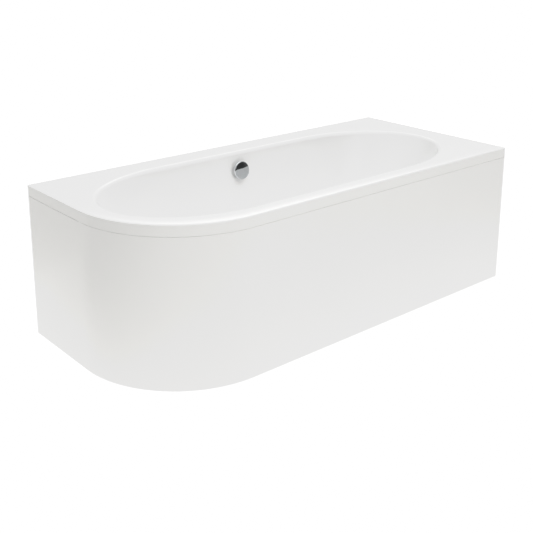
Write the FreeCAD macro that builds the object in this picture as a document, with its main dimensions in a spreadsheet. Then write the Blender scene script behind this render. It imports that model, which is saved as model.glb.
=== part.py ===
import FreeCAD, Part
import math
import os

import Sketcher
from FreeCAD import Placement, Rotation, Vector

# Corner bath with one round front corner: acrylic shell, wrap-round panel, underframe on four
# levelling feet, and a cable-driven overflow and waste set with its trap.
# X runs along the bath, -Y is the front, +Y the wall side, +Z up. The origin is on the floor
# at the middle of the bath. Millimetres and degrees.

# Driving dimensions: name and value.
DIMENSIONS = [
    # bath shell
    ("bath_length", 1700),
    ("bath_width", 750),
    ("bath_height", 555),
    ("corner_radius", 390),
    ("shell_wall", 6),
    ("skirt_depth", 42),
    ("rim_edge_radius", 4),
    ("lip_radius", 18),
    ("front_rim", 68),
    ("back_rim", 116),
    ("left_rim", 68),
    ("right_rim", 118),
    ("opening_end_reach", 390),
    ("bowl_floor_height", 150),
    ("floor_length", 1000),
    ("floor_width", 410),
    ("floor_end_reach", 240),
    ("floor_radius", 80),
    # clearances
    ("fit_gap", 0.3),
    ("screw_gap", 0.1),
    ("cut_margin", 1),
    # front panel and its fixings
    ("panel_wall", 5),
    ("panel_flange", 35),
    ("seam_gap", 2),
    ("tongue_inset", 8),
    ("tongue_wall", 4),
    ("tongue_headroom", 14),
    ("tongue_end_gap", 3),
    ("clip_width", 22),
    ("clip_metal", 2),
    ("clip_base", 28),
    ("clip_drop", 24),
    ("clip_end_gap", 44),
    ("clip_screw_inset", 17),
    ("clip_screw_radius", 2),
    ("clip_screw_bite", 14),
    ("clip_head_radius", 4),
    ("clip_head_height", 2),
    ("stay_metal", 3),
    ("stay_height", 15),
    ("stay_foot_width", 27),
    ("stay_lap", 50),
    ("stay_screw_edge", 17),
    ("stay_screw_pitch", 22),
    ("stay_screw_radius", 2),
    ("stay_screw_bite", 5),
    ("stay_head_radius", 4),
    ("stay_head_height", 2.5),
    # rim battens
    ("batten_height", 20),
    ("batten_width", 28),
    ("batten_inset", 16),
    ("batten_end_gap", 40),
    ("right_batten_gap", 80),
    ("back_batten_width", 45),
    ("back_batten_inset", 30),
    ("back_batten_gap", 120),
    # underframe
    ("board_length", 820),
    ("board_width", 250),
    ("board_corner", 90),
    ("board_thickness", 15),
    ("board_waste_radius", 72),
    ("bearer_inset", 30),
    ("bearer_width", 25),
    ("bearer_height", 25),
    ("bearer_wall", 2),
    ("bearer_overhang", 20),
    ("bearer_screw_spread", 150),
    ("bearer_screw_radius", 2.5),
    ("bearer_screw_bite", 11),
    ("bearer_head_radius", 5),
    ("bearer_head_height", 3),
    ("foot_panel_gap", 57),
    ("stud_radius", 5),
    ("stud_tail", 8),
    ("nut_height", 8),
    ("nut_corner_radius", 9.8),
    ("pad_radius", 24),
    ("pad_height", 8),
    ("pad_boss_radius", 10),
    ("pad_boss_height", 12),
    ("pad_base", 4),
    ("pad_bevel", 4),
    # wall hooks
    ("hook_width", 30),
    ("hook_metal", 3),
    ("hook_height", 80),
    ("hook_depth", 15),
    ("hook_rise", 18),
    ("hook_spread", 900),
    ("end_hook_shift", 60),
    ("wall_screw_radius", 3.5),
    ("wall_screw_spacing", 35),
    ("wall_screw_edge", 20),
    # overflow
    ("overflow_drop", 72),
    ("overflow_hole_radius", 25),
    ("overflow_flange_radius", 36),
    ("overflow_flange_thickness", 4),
    ("overflow_gasket_thickness", 3),
    ("chamber_radius", 27),
    ("chamber_wall", 3),
    ("chamber_depth", 34),
    ("post_radius", 3.5),
    ("post_offset", 20),
    ("plate_radius", 29),
    ("plate_thickness", 3),
    ("plate_boss_radius", 8),
    ("plate_boss_height", 8),
    ("plate_window_radius", 4.5),
    ("plate_window_offset", 15),
    ("plate_screw_radius", 1.5),
    ("plate_screw_reach", 24),
    ("plate_head_radius", 3),
    ("plate_head_height", 2),
    ("knob_radius", 35),
    ("knob_standoff", 9),
    ("knob_depth", 16),
    ("knob_wall", 3.5),
    ("knob_hub_radius", 8),
    ("knob_edge_radius", 2.5),
    ("spindle_radius", 4),
    ("spindle_seat", 9),
    ("crank_radius", 15),
    ("crank_thickness", 4),
    ("crank_gap", 4),
    # overflow pipe and control cable
    ("pipe_radius", 14),
    ("pipe_wall", 2),
    ("pipe_bend_radius", 60),
    ("socket_wall", 3),
    ("socket_depth", 22),
    ("socket_drop", 55),
    ("socket_reach", 26),
    ("pipe_nut_length", 20),
    ("pipe_nut_wall", 4),
    ("pipe_nut_shoulder", 7),
    ("cable_radius", 2.5),
    ("cable_offset", 100),
    ("cable_end_bend", 48),
    ("cable_low_bend", 80),
    ("gland_radius", 7),
    ("gland_reach", 10),
    ("cable_nut_length", 8),
    # waste
    ("waste_hole_radius", 24.5),
    ("flange_radius", 35),
    ("flange_height", 3),
    ("flange_bevel", 2),
    ("flange_seal_thickness", 1),
    ("tail_radius", 23),
    ("tail_wall", 2.5),
    ("tail_length", 23),
    ("spider_height", 5),
    ("spider_lift", 5),
    ("spider_bar", 3),
    ("guide_radius", 7),
    ("waste_gasket_thickness", 4),
    ("body_flange_radius", 38),
    ("body_flange_thickness", 5),
    ("body_radius", 30),
    ("body_wall", 4),
    ("body_height", 42),
    ("outlet_radius", 20),
    ("outlet_wall", 4),
    ("outlet_length", 16),
    ("inlet_height", 16),
    ("plug_radius", 30),
    ("plug_height", 6),
    ("plug_edge", 1.5),
    ("plug_seal_thickness", 2),
    ("plug_seal_radius", 28),
    ("plug_seal_width", 6),
    ("stem_radius", 4),
    ("stem_tip_radius", 1.5),
    ("stem_tip_length", 2),
    ("stem_length", 17),
    ("lever_reach", 19),
    ("lever_overrun", 5),
    ("lever_width", 7),
    ("lever_thickness", 4),
    ("lever_hub_radius", 3.5),
    ("lever_rise", 8),
    ("lever_crank", 7),
    ("lever_side_gap", 0.6),
    ("wire_hook_drop", 1),
    ("lever_pin_radius", 1.5),
    ("lug_thickness", 3),
    # trap
    ("trap_radius", 18),
    ("trap_wall", 2.5),
    ("trap_bend_radius", 32),
    ("trap_lip", 4),
    ("trap_washer", 2),
    ("trap_nut_thread", 8),
    ("trap_nut_shoulder", 4),
    ("trap_nut_radius", 26),
    ("trap_leg", 5),
    ("trap_elbow_radius", 24),
    ("trap_elbow_gap", 1),
    ("trap_run", 190),
    ("spigot_radius", 20),
    ("spigot_length", 60),
]

FRONT_CLIPS = 4
SIDE_CLIPS = 2

os.makedirs("parts", exist_ok=True)
doc = FreeCAD.newDocument("corner_bath")
sheet = doc.addObject("Spreadsheet::Sheet", "Dimensions")
for row, (alias, number) in enumerate(DIMENSIONS, start=1):
    sheet.set(f"A{row}", alias)
    sheet.set(f"B{row}", str(number))
    sheet.setAlias(f"B{row}", alias)
doc.recompute()


class Size:
    """A number together with the sheet formula that gives it."""

    def __init__(self, value, formula):
        self.value = value
        self.formula = formula

    def __add__(self, other):
        other = as_size(other)
        return Size(self.value + other.value, f"({self.formula} + {other.formula})")

    def __radd__(self, other):
        return as_size(other) + self

    def __sub__(self, other):
        other = as_size(other)
        return Size(self.value - other.value, f"({self.formula} - {other.formula})")

    def __rsub__(self, other):
        return as_size(other) - self

    def __mul__(self, other):
        other = as_size(other)
        return Size(self.value * other.value, f"({self.formula} * {other.formula})")

    def __rmul__(self, other):
        return as_size(other) * self

    def __truediv__(self, other):
        other = as_size(other)
        return Size(self.value / other.value, f"({self.formula} / {other.formula})")

    def __rtruediv__(self, other):
        return as_size(other) / self

    def __neg__(self):
        return as_size(0) - self

    def root(self):
        return Size(math.sqrt(self.value), f"sqrt({self.formula})")

    def above_zero(self):
        return Size(max(self.value, 0), f"max({self.formula}; 0)")


def as_size(item):
    return item if isinstance(item, Size) else Size(float(item), f"({float(item)})")


class Sheet:
    """Reads the driving dimensions as attributes."""

    def __getattr__(self, alias):
        return Size(float(sheet.get(alias)), f"Dimensions.{alias}")


d = Sheet()
nodes = {}

# Levels and places that several pieces share.
half_length = d.bath_length / 2
half_width = d.bath_width / 2
rim_top = d.bath_height
rim_under = rim_top - d.shell_wall
skirt_bottom = rim_top - d.skirt_depth
panel_top = skirt_bottom - d.seam_gap
floor_top = d.bowl_floor_height
floor_under = floor_top - d.shell_wall
board_under = floor_under - d.board_thickness
bearer_under = board_under - d.bearer_height
bowl_x = (d.left_rim - d.right_rim) / 2
bowl_y = (d.front_rim - d.back_rim) / 2
opening_half_length = (d.bath_length - d.left_rim - d.right_rim) / 2
opening_half_width = (d.bath_width - d.front_rim - d.back_rim) / 2
bowl_depth = rim_top - floor_top
batten_under = rim_under - d.batten_height
front_foot_y = d.panel_flange + d.foot_panel_gap + d.pad_radius - half_width
foot_offset = bowl_y - front_foot_y
bearer_x = d.board_length / 2 - d.bearer_inset
batten_inner = d.batten_inset + d.batten_width

# The back wall leans out by this rise over run, which also tilts the overflow.
wall_lean = (opening_half_width - d.floor_width / 2) / bowl_depth
lean_cos = 1 / (1 + wall_lean * wall_lean).root()
lean_sin = wall_lean * lean_cos
overflow_z = rim_top - d.overflow_drop
overflow_y = bowl_y + d.floor_width / 2 + wall_lean * (overflow_z - floor_top)
overflow_turn = f"90 deg - atan({wall_lean.formula})"
overflow_turn_degrees = 90 - math.degrees(math.atan(wall_lean.value))

# Depths along the overflow axis, positive into the bowl, zero on the wall's inner face.
wall_back = -d.shell_wall * lean_cos
gasket_back = wall_back - d.overflow_gasket_thickness
chamber_front = gasket_back - d.overflow_flange_thickness
chamber_back = chamber_front - d.chamber_depth
chamber_middle = (chamber_front + chamber_back) / 2
pipe_y = overflow_y - chamber_middle * lean_cos
chamber_z = overflow_z + chamber_middle * lean_sin
socket_radius = d.pipe_radius + d.fit_gap + d.socket_wall
upper_socket_end = chamber_z - d.socket_drop

# Waste levels, from the bowl floor down.
flange_bottom = floor_top + d.flange_seal_thickness
flange_top = flange_bottom + d.flange_height
tail_bottom = floor_top - d.tail_length
body_top = floor_under - d.waste_gasket_thickness
body_shoulder = body_top - d.body_flange_thickness
body_bottom = body_shoulder - d.body_height
chamber_floor = body_bottom + d.body_wall
body_bore = d.body_radius - d.body_wall
inlet_z = chamber_floor + d.inlet_height
inlet_end = bowl_y + d.body_radius + d.socket_reach
pivot_x = bowl_x - d.lever_reach
pivot_z = chamber_floor + d.lever_rise
lever_top = pivot_z + d.lever_thickness / 2
cable_low_z = pivot_z + d.lever_crank - d.wire_hook_drop
outlet_end = body_bottom - d.outlet_length
plug_bottom = flange_top + d.fit_gap + d.plug_seal_thickness

# Trap levels.
trap_mouth = outlet_end - d.trap_washer
bend_z = trap_mouth - d.trap_lip - d.trap_nut_shoulder - d.trap_leg
trap_out_x = bowl_x + 2 * d.trap_bend_radius
swivel_seat = bend_z + d.trap_nut_thread
elbow_seat = swivel_seat + d.trap_washer
swivel_nut_top = elbow_seat + d.trap_lip + d.trap_nut_shoulder
trap_out_z = swivel_nut_top + d.trap_elbow_gap + d.trap_elbow_radius
trap_bore = d.trap_radius - d.trap_wall
thread_bore = d.outlet_radius + d.screw_gap
lip_radius_trap = d.outlet_radius - d.screw_gap


def bind(item, **sizes):
    for name, size in sizes.items():
        item.setExpression(name, as_size(size).formula)


def place(item, x, y, z):
    for axis, size in zip("xyz", (x, y, z)):
        item.setExpression(f"Placement.Base.{axis}", as_size(size).formula)


def place_on_overflow(item):
    """Sets an item made about Z on the overflow axis, its zero level on the wall's inner face."""
    item.Placement = Placement(Vector(0, 0, 0), Rotation(Vector(1, 0, 0), overflow_turn_degrees))
    item.setExpression("Placement.Rotation.Angle", overflow_turn)
    place(item, bowl_x, overflow_y, overflow_z)


def node(item, name):
    """Names an object as a sub-part of its own."""
    item.Label = name
    nodes[name] = item
    return item


def box(name, low, high):
    item = doc.addObject("Part::Box", name)
    spans = [as_size(end) - as_size(start) for start, end in zip(low, high)]
    bind(item, Length=spans[0], Width=spans[1], Height=spans[2])
    place(item, *low)
    return item


DIRECTIONS = {
    "x": Rotation(Vector(0, 0, 1), Vector(1, 0, 0)),
    "-x": Rotation(Vector(0, 0, 1), Vector(-1, 0, 0)),
    "y": Rotation(Vector(0, 0, 1), Vector(0, 1, 0)),
    "z": Rotation(),
}


def cylinder(name, radius, start, length, direction="z"):
    item = doc.addObject("Part::Cylinder", name)
    bind(item, Radius=radius, Height=length)
    item.Placement = Placement(Vector(0, 0, 0), DIRECTIONS[direction])
    place(item, *start)
    return item


def fuse(name, *items):
    if len(items) == 1:
        return items[0]
    item = doc.addObject("Part::MultiFuse", name)
    item.Shapes = list(items)
    item.Refine = True
    return item


def cut(name, base, *tools):
    item = doc.addObject("Part::Cut", name)
    item.Base = base
    item.Tool = fuse(name + "_tools", *tools)
    return item


def group(name, items):
    item = doc.addObject("Part::Compound", name)
    item.Links = items
    return node(item, name)


def fillet(name, base, *picks):
    """Rounds the edges that each (test, radius) pair picks by their bounding boxes."""
    doc.recompute()
    item = doc.addObject("Part::Fillet", name)
    item.Base = base
    item.Edges = [
        (number, radius.value, radius.value)
        for number, edge in enumerate(base.Shape.Edges, start=1)
        for test, radius in picks
        if test(edge.BoundBox)
    ]
    return item


def on_level(level):
    return lambda bounds: abs(bounds.ZMin - level.value) + abs(bounds.ZMax - level.value) < 0.001


def new_body(name):
    return doc.addObject("PartDesign::Body", name)


def new_sketch(body, role, name, level=0):
    """A sketch on one of the body's own origin planes, lifted along the plane's normal."""
    sketch = body.newObject("Sketcher::SketchObject", name)
    plane = next(item for item in body.Origin.OriginFeatures if item.Role == role)
    sketch.AttachmentSupport = [(plane, "")]
    sketch.MapMode = "FlatFace"
    sketch.setExpression("AttachmentOffset.Base.z", as_size(level).formula)
    return sketch


def draw_outline(sketch, corners, arcs=None):
    """Closed outline through corners; arcs maps a corner's number to the centre that the stretch
    after it turns about and whether it turns counterclockwise."""
    arcs = arcs or {}
    corners = [(as_size(x), as_size(y)) for x, y in corners]
    count = len(corners)
    first = sketch.GeometryCount
    points = [Vector(x.value, y.value, 0) for x, y in corners]
    starts = []
    ends = []
    for index in range(count):
        here = points[index]
        there = points[(index + 1) % count]
        geometry = first + index
        if index not in arcs:
            sketch.addGeometry(Part.LineSegment(here, there), False)
            starts.append((geometry, 1))
            ends.append((geometry, 2))
            continue
        centre, forward = arcs[index]
        middle = Vector(as_size(centre[0]).value, as_size(centre[1]).value, 0)
        low, high = (here, there) if forward else (there, here)
        angles = [math.atan2(point.y - middle.y, point.x - middle.x) for point in (low, high)]
        circle = Part.Circle(middle, Vector(0, 0, 1), (here - middle).Length)
        sketch.addGeometry(Part.ArcOfCircle(circle, *angles), False)
        starts.append((geometry, 1 if forward else 2))
        ends.append((geometry, 2 if forward else 1))
        pin_point(sketch, "DistanceX", (geometry, 3), as_size(centre[0]))
    for index, (x, y) in enumerate(corners):
        sketch.addConstraint(Sketcher.Constraint("Coincident", *ends[index - 1], *starts[index]))
        owner = ends[index - 1] if index in arcs else starts[index]
        pin_point(sketch, "DistanceX", owner, x)
        pin_point(sketch, "DistanceY", owner, y)


def pin_point(sketch, kind, point, size):
    number = sketch.addConstraint(Sketcher.Constraint(kind, -1, 1, *point, size.value))
    sketch.setExpression(f"Constraints[{number}]", size.formula)


def pad(body, sketch, length, name, both_ways=False):
    item = body.newObject("PartDesign::Pad", name)
    item.Profile = sketch
    item.Midplane = both_ways
    bind(item, Length=length)
    return item


def turned(name, profile):
    """A body turned about Z from a closed outline of (radius, height) corners."""
    body = new_body(name)
    sketch = new_sketch(body, "XZ_Plane", name + "_profile")
    draw_outline(sketch, profile)
    item = body.newObject("PartDesign::Revolution", name + "_turn")
    item.Profile = sketch
    item.ReferenceAxis = (sketch, ["V_Axis"])
    item.Angle = 360
    return body


def ring_profile(outer, inner, low, high):
    return [(inner, low), (outer, low), (outer, high), (inner, high)]


def round_path(points, radii):
    """A wire of straight runs through points, with a tangent arc at each inner point."""
    edges = []
    start = points[0]
    for before, corner, after, radius in zip(points, points[1:], points[2:], radii):
        back = (before - corner).normalize()
        ahead = (after - corner).normalize()
        half_turn = (math.pi - back.getAngle(ahead)) / 2
        setback = radius * math.tan(half_turn)
        centre = corner + (back + ahead).normalize() * (radius / math.cos(half_turn))
        nearest = centre + (corner - centre).normalize() * radius
        edges.append(Part.LineSegment(start, corner + back * setback).toShape())
        edges.append(Part.Arc(corner + back * setback, nearest, corner + ahead * setback).toShape())
        start = corner + ahead * setback
    edges.append(Part.LineSegment(start, points[-1]).toShape())
    return Part.Wire(edges)


def rod(name, points, bends, radius):
    """A round rod along a path of runs and tangent arcs."""
    places = [Vector(*(as_size(part).value for part in point)) for point in points]
    path = round_path(places, [bend.value for bend in bends])
    ahead = (places[1] - places[0]).normalize()
    section = Part.Wire(Part.makeCircle(radius.value, places[0], ahead))
    item = doc.addObject("Part::Feature", name)
    item.Shape = path.makePipeShell([section], True, False)
    return item


def half_circle_rod(name, points, bend, radius):
    """A round rod down, round a half circle and up again, through the corners of its U."""
    start, low_start, low_end, end = [Vector(*(as_size(part).value for part in point)) for point in points]
    rise = Vector(0, 0, bend.value)
    middle = (low_start + low_end) / 2
    path = Part.Wire([
        Part.LineSegment(start, low_start + rise).toShape(),
        Part.Arc(low_start + rise, middle, low_end + rise).toShape(),
        Part.LineSegment(low_end + rise, end).toShape(),
    ])
    section = Part.Wire(Part.makeCircle(radius.value, start, Vector(0, 0, -1)))
    item = doc.addObject("Part::Feature", name)
    item.Shape = path.makePipeShell([section], True, False)
    return item


# Outlines in plan

def bath_outline(sketch, inset):
    """The bath's plan: a rectangle with the front left corner round, drawn in by an inset."""
    left = inset - half_length
    right = half_length - inset
    front = inset - half_width
    back = half_width - inset
    centre = (d.corner_radius - half_length, d.corner_radius - half_width)
    corners = [(centre[0], front), (right, front), (right, back), (left, back), (left, centre[1])]
    draw_outline(sketch, corners, {4: (centre, True)})


def panel_strip(sketch, outer, inner, end_gap):
    """A strip that follows the left end, the round corner and the front, between two insets."""
    centre = (d.corner_radius - half_length, d.corner_radius - half_width)
    back = half_width - end_gap
    right = half_length - end_gap
    corners = [
        (outer - half_length, back), (outer - half_length, centre[1]),
        (centre[0], outer - half_width), (right, outer - half_width),
        (right, inner - half_width), (centre[0], inner - half_width),
        (inner - half_length, centre[1]), (inner - half_length, back),
    ]
    draw_outline(sketch, corners, {1: (centre, True), 5: (centre, False)})


def bowl_section(name, level, grow):
    """The oval plan of the bowl at a level: straight sides and half-ellipse ends, grown outwards."""
    share = ((level - floor_top) / bowl_depth).value
    along = d.floor_length.value / 2
    across = d.floor_width.value / 2
    reach = d.floor_end_reach.value
    along += share * (opening_half_length.value - along) + grow.value
    across += share * (opening_half_width.value - across) + grow.value
    reach += share * (d.opening_end_reach.value - reach) + grow.value
    straight = along - reach
    middle = Vector(bowl_x.value, bowl_y.value, level.value)

    def point(x, y):
        return middle + Vector(x, y, 0)

    def quarter(start, corner, end):
        curve = Part.BezierCurve()
        curve.setPoles([start, corner, end])
        curve.setWeight(2, math.sqrt(0.5))
        return curve.toShape()

    edges = []
    for side in (1, -1):
        edges.append(Part.LineSegment(point(-side * straight, -side * across),
                                      point(side * straight, -side * across)).toShape())
        edges.append(quarter(point(side * straight, -side * across), point(side * along, -side * across),
                             point(side * along, 0)))
        edges.append(quarter(point(side * along, 0), point(side * along, side * across),
                             point(side * straight, side * across)))
    item = doc.addObject("Part::Feature", name)
    item.Shape = Part.Wire(edges)
    return item


def bowl_blank(name, bottom, top, grow, radius):
    """A solid bowl between two levels, its lower edge rounded."""
    loft = doc.addObject("Part::Loft", name + "_loft")
    loft.Sections = [bowl_section(name + "_low", bottom, grow), bowl_section(name + "_high", top, grow)]
    loft.Solid = True
    loft.Ruled = True
    return fillet(name, loft, (on_level(bottom), radius))


# Bath shell and rim

def make_shell():
    rim = new_body("rim_blank")
    skirt = new_sketch(rim, "XY_Plane", "skirt_plan", skirt_bottom)
    bath_outline(skirt, as_size(0))
    bath_outline(skirt, d.shell_wall)
    pad(rim, skirt, d.skirt_depth - d.shell_wall, "skirt")
    plate = new_sketch(rim, "XY_Plane", "rim_plan", rim_under)
    bath_outline(plate, as_size(0))
    pad(rim, plate, d.shell_wall, "rim_plate")

    outer = bowl_blank("bowl_outer", floor_under, rim_top - d.shell_wall / 2, d.shell_wall,
                       d.floor_radius + d.shell_wall)
    inner = bowl_blank("bowl_inner", floor_top, rim_top, as_size(0), d.floor_radius)

    limit = opening_half_length + d.shell_wall + d.cut_margin
    low_limit = (bowl_x - limit).value
    high_limit = (bowl_x + limit).value

    def in_opening(level):
        return lambda bounds: on_level(level)(bounds) and low_limit < bounds.XMin and bounds.XMax < high_limit

    def outside(bounds):
        return on_level(rim_top)(bounds) and not in_opening(rim_top)(bounds)

    rooted = fillet("rim_root", fuse("rim_and_bowl", rim, outer),
                    (in_opening(rim_under), d.lip_radius - d.shell_wall))
    lipped = fillet("rim_lip", cut("open_bowl", rooted, inner),
                    (in_opening(rim_top), d.lip_radius), (outside, d.rim_edge_radius))
    waste_hole = cylinder("waste_hole", d.waste_hole_radius, (bowl_x, bowl_y, floor_under - d.cut_margin),
                          d.shell_wall + 2 * d.cut_margin)
    overflow_hole = turned("overflow_hole", ring_profile(d.overflow_hole_radius, 0, 2 * wall_back,
                                                         -wall_back))
    place_on_overflow(overflow_hole)
    node(cut("shell_drilled", lipped, waste_hole, overflow_hole), "bath_shell")


def spread(start, end, count):
    """Places evenly spaced from start to end."""
    return [start + step * (end - start) / (count - 1) for step in range(count)]


def clip_places():
    """Where the panel clips sit: (x, y, turned to the front or not)."""
    inset = d.tongue_inset + d.tongue_wall + d.fit_gap
    along = spread(d.corner_radius - half_length + d.clip_end_gap,
                   half_length - d.batten_end_gap - d.clip_end_gap, FRONT_CLIPS)
    across = spread(d.corner_radius - half_width + d.clip_end_gap,
                    half_width - d.batten_end_gap - d.clip_end_gap, SIDE_CLIPS)
    front = [(x, inset - half_width, True) for x in along]
    side = [(inset - half_length, y, False) for y in across]
    return front + side


def clip_screw_place(x, y, to_front):
    return (x, y + d.clip_screw_inset) if to_front else (x + d.clip_screw_inset, y)


def make_battens():
    front = box("front_batten",
                (d.corner_radius - half_length, d.batten_inset - half_width, batten_under),
                (half_length - d.batten_end_gap, batten_inner - half_width, rim_under))
    left = box("left_batten",
               (d.batten_inset - half_length, d.corner_radius - half_width, batten_under),
               (batten_inner - half_length, half_width - d.batten_end_gap, rim_under))
    right = box("right_batten",
                (half_length - batten_inner, d.right_batten_gap - half_width, batten_under),
                (half_length - d.batten_inset, half_width - d.right_batten_gap, rim_under))
    back_outer = half_width - d.back_batten_inset
    back = box("back_batten",
               (d.back_batten_gap - half_length, back_outer - d.back_batten_width, batten_under),
               (half_length - d.back_batten_gap, back_outer, rim_under))
    holes = {True: [], False: []}
    for x, y, to_front in clip_places():
        screw_x, screw_y = clip_screw_place(x, y, to_front)
        hole = cylinder("clip_pilot", d.clip_screw_radius + d.screw_gap,
                        (screw_x, screw_y, batten_under), d.clip_screw_bite + d.screw_gap)
        holes[to_front].append(hole)
    node(cut("front_batten_drilled", front, *holes[True]), "rim_batten_front")
    node(cut("left_batten_drilled", left, *holes[False]), "rim_batten_left")
    node(right, "rim_batten_right")
    node(back, "rim_batten_back")


# Front panel, its clips and stays

def make_panel():
    body = new_body("panel")
    ledge = panel_top - d.panel_wall
    tongue_back = d.tongue_inset + d.tongue_wall
    tongue_gap = d.shell_wall + d.tongue_end_gap
    strips = [
        ("panel_skin", 0, d.panel_wall, 0, 0, panel_top),
        ("panel_foot", 0, d.panel_flange, 0, 0, d.panel_wall),
        ("panel_ledge", 0, tongue_back, 0, ledge, panel_top),
        ("panel_tongue", d.tongue_inset, tongue_back, tongue_gap, ledge, rim_under - d.tongue_headroom),
    ]
    for name, outer, inner, end_gap, low, high in strips:
        sketch = new_sketch(body, "XY_Plane", name + "_plan", low)
        panel_strip(sketch, as_size(outer), as_size(inner), as_size(end_gap))
        pad(body, sketch, as_size(high) - low, name)
    returns = [
        ("left_return", (-half_length, half_width - d.panel_wall),
         (d.panel_flange - half_length, half_width)),
        ("right_return", (half_length - d.panel_wall, -half_width),
         (half_length, d.panel_flange - half_width)),
    ]
    for name, (left, front), (right, back) in returns:
        sketch = new_sketch(body, "XY_Plane", name + "_plan")
        draw_outline(sketch, [(left, front), (right, front), (right, back), (left, back)])
        pad(body, sketch, panel_top, name)
    node(body, "front_panel")


def make_clips():
    clips = []
    screws = []
    quarter_turn = Rotation(Vector(0, 0, 1), 90)
    for x, y, to_front in clip_places():
        body = new_body("clip")
        sketch = new_sketch(body, "XZ_Plane", "clip_profile")
        base = batten_under - d.clip_metal
        draw_outline(sketch, [
            (0, base - d.clip_drop), (d.clip_metal, base - d.clip_drop), (d.clip_metal, base),
            (d.clip_base, base), (d.clip_base, batten_under), (0, batten_under),
        ])
        pad(body, sketch, d.clip_width, "clip_strip", both_ways=True)
        body.Placement = Placement(Vector(0, 0, 0), quarter_turn if to_front else Rotation())
        place(body, x, y, 0)
        screw_x, screw_y = clip_screw_place(x, y, to_front)
        hole = cylinder("clip_hole", d.clip_screw_radius + d.screw_gap, (screw_x, screw_y, base),
                        d.clip_metal)
        clips.append(cut("clip_drilled", body, hole))
        head = cylinder("clip_head", d.clip_head_radius, (screw_x, screw_y, base - d.clip_head_height),
                        d.clip_head_height)
        shank = cylinder("clip_shank", d.clip_screw_radius, (screw_x, screw_y, base),
                         d.clip_metal + d.clip_screw_bite)
        screws.append(fuse("clip_screw", head, shank))
    group("panel_clips", clips)
    group("panel_clip_screws", screws)


def stay_screw_places():
    first = bowl_y - foot_offset + d.stay_screw_edge
    return [first, first + d.stay_screw_pitch]


def stay_side(side):
    """The face of a bearer that its stay is screwed to."""
    return bowl_x + side * bearer_x + d.bearer_width / 2


def stay_middle():
    return bearer_under + d.bearer_height / 2


def panel_inside(x):
    """How far forward the panel's inner face lies at x, along the front or round the corner."""
    inner_radius = d.corner_radius - d.panel_wall
    into_corner = (d.corner_radius - half_length - x).above_zero()
    reach = (inner_radius * inner_radius - into_corner * into_corner).root()
    return d.corner_radius - half_width - reach


def make_stays():
    stays = []
    screws = []
    for side in (-1, 1):
        inner = stay_side(side)
        outer = inner + d.stay_metal
        front = panel_inside(inner) + d.fit_gap
        back = bowl_y - foot_offset + d.stay_lap
        body = new_body("stay")
        sketch = new_sketch(body, "XY_Plane", "stay_plan", stay_middle())
        draw_outline(sketch, [
            (inner, front), (inner + d.stay_foot_width, front),
            (inner + d.stay_foot_width, front + d.stay_metal), (outer, front + d.stay_metal),
            (outer, back), (inner, back),
        ])
        pad(body, sketch, d.stay_height, "stay_bar", both_ways=True)
        holes = []
        for y in stay_screw_places():
            holes.append(cylinder("stay_hole", d.stay_screw_radius + d.screw_gap,
                                  (inner, y, stay_middle()), d.stay_metal, "x"))
            head = cylinder("stay_head", d.stay_head_radius, (outer, y, stay_middle()),
                            d.stay_head_height, "x")
            shank = cylinder("stay_shank", d.stay_screw_radius,
                             (inner - d.stay_screw_bite, y, stay_middle()),
                             d.stay_screw_bite + d.stay_metal, "x")
            screws.append(fuse("stay_screw", head, shank))
        stays.append(cut("stay_drilled", body, *holes))
    group("panel_stays", stays)
    group("panel_stay_screws", screws)


# Underframe

def bearer_screw_places():
    return [bowl_y - d.bearer_screw_spread / 2, bowl_y + d.bearer_screw_spread / 2]


def make_baseboard():
    body = new_body("board")
    sketch = new_sketch(body, "XY_Plane", "board_plan", board_under)
    left = bowl_x - d.board_length / 2
    right = bowl_x + d.board_length / 2
    across = d.board_width / 2
    inner_left = left + d.board_corner
    inner_right = right - d.board_corner
    low = bowl_y - across + d.board_corner
    high = bowl_y + across - d.board_corner
    corners = [
        (inner_left, bowl_y - across), (inner_right, bowl_y - across), (right, low), (right, high),
        (inner_right, bowl_y + across), (inner_left, bowl_y + across), (left, high), (left, low),
    ]
    draw_outline(sketch, corners, {
        1: ((inner_right, low), True), 3: ((inner_right, high), True),
        5: ((inner_left, high), True), 7: ((inner_left, low), True),
    })
    pad(body, sketch, d.board_thickness, "board_panel")
    holes = [cylinder("board_waste_hole", d.board_waste_radius, (bowl_x, bowl_y, board_under),
                      d.board_thickness)]
    for x in (bowl_x - bearer_x, bowl_x + bearer_x):
        for y in bearer_screw_places():
            holes.append(cylinder("board_pilot", d.bearer_screw_radius + d.screw_gap, (x, y, board_under),
                                  d.bearer_screw_bite + d.screw_gap))
    node(cut("board_drilled", body, *holes), "baseboard")


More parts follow.
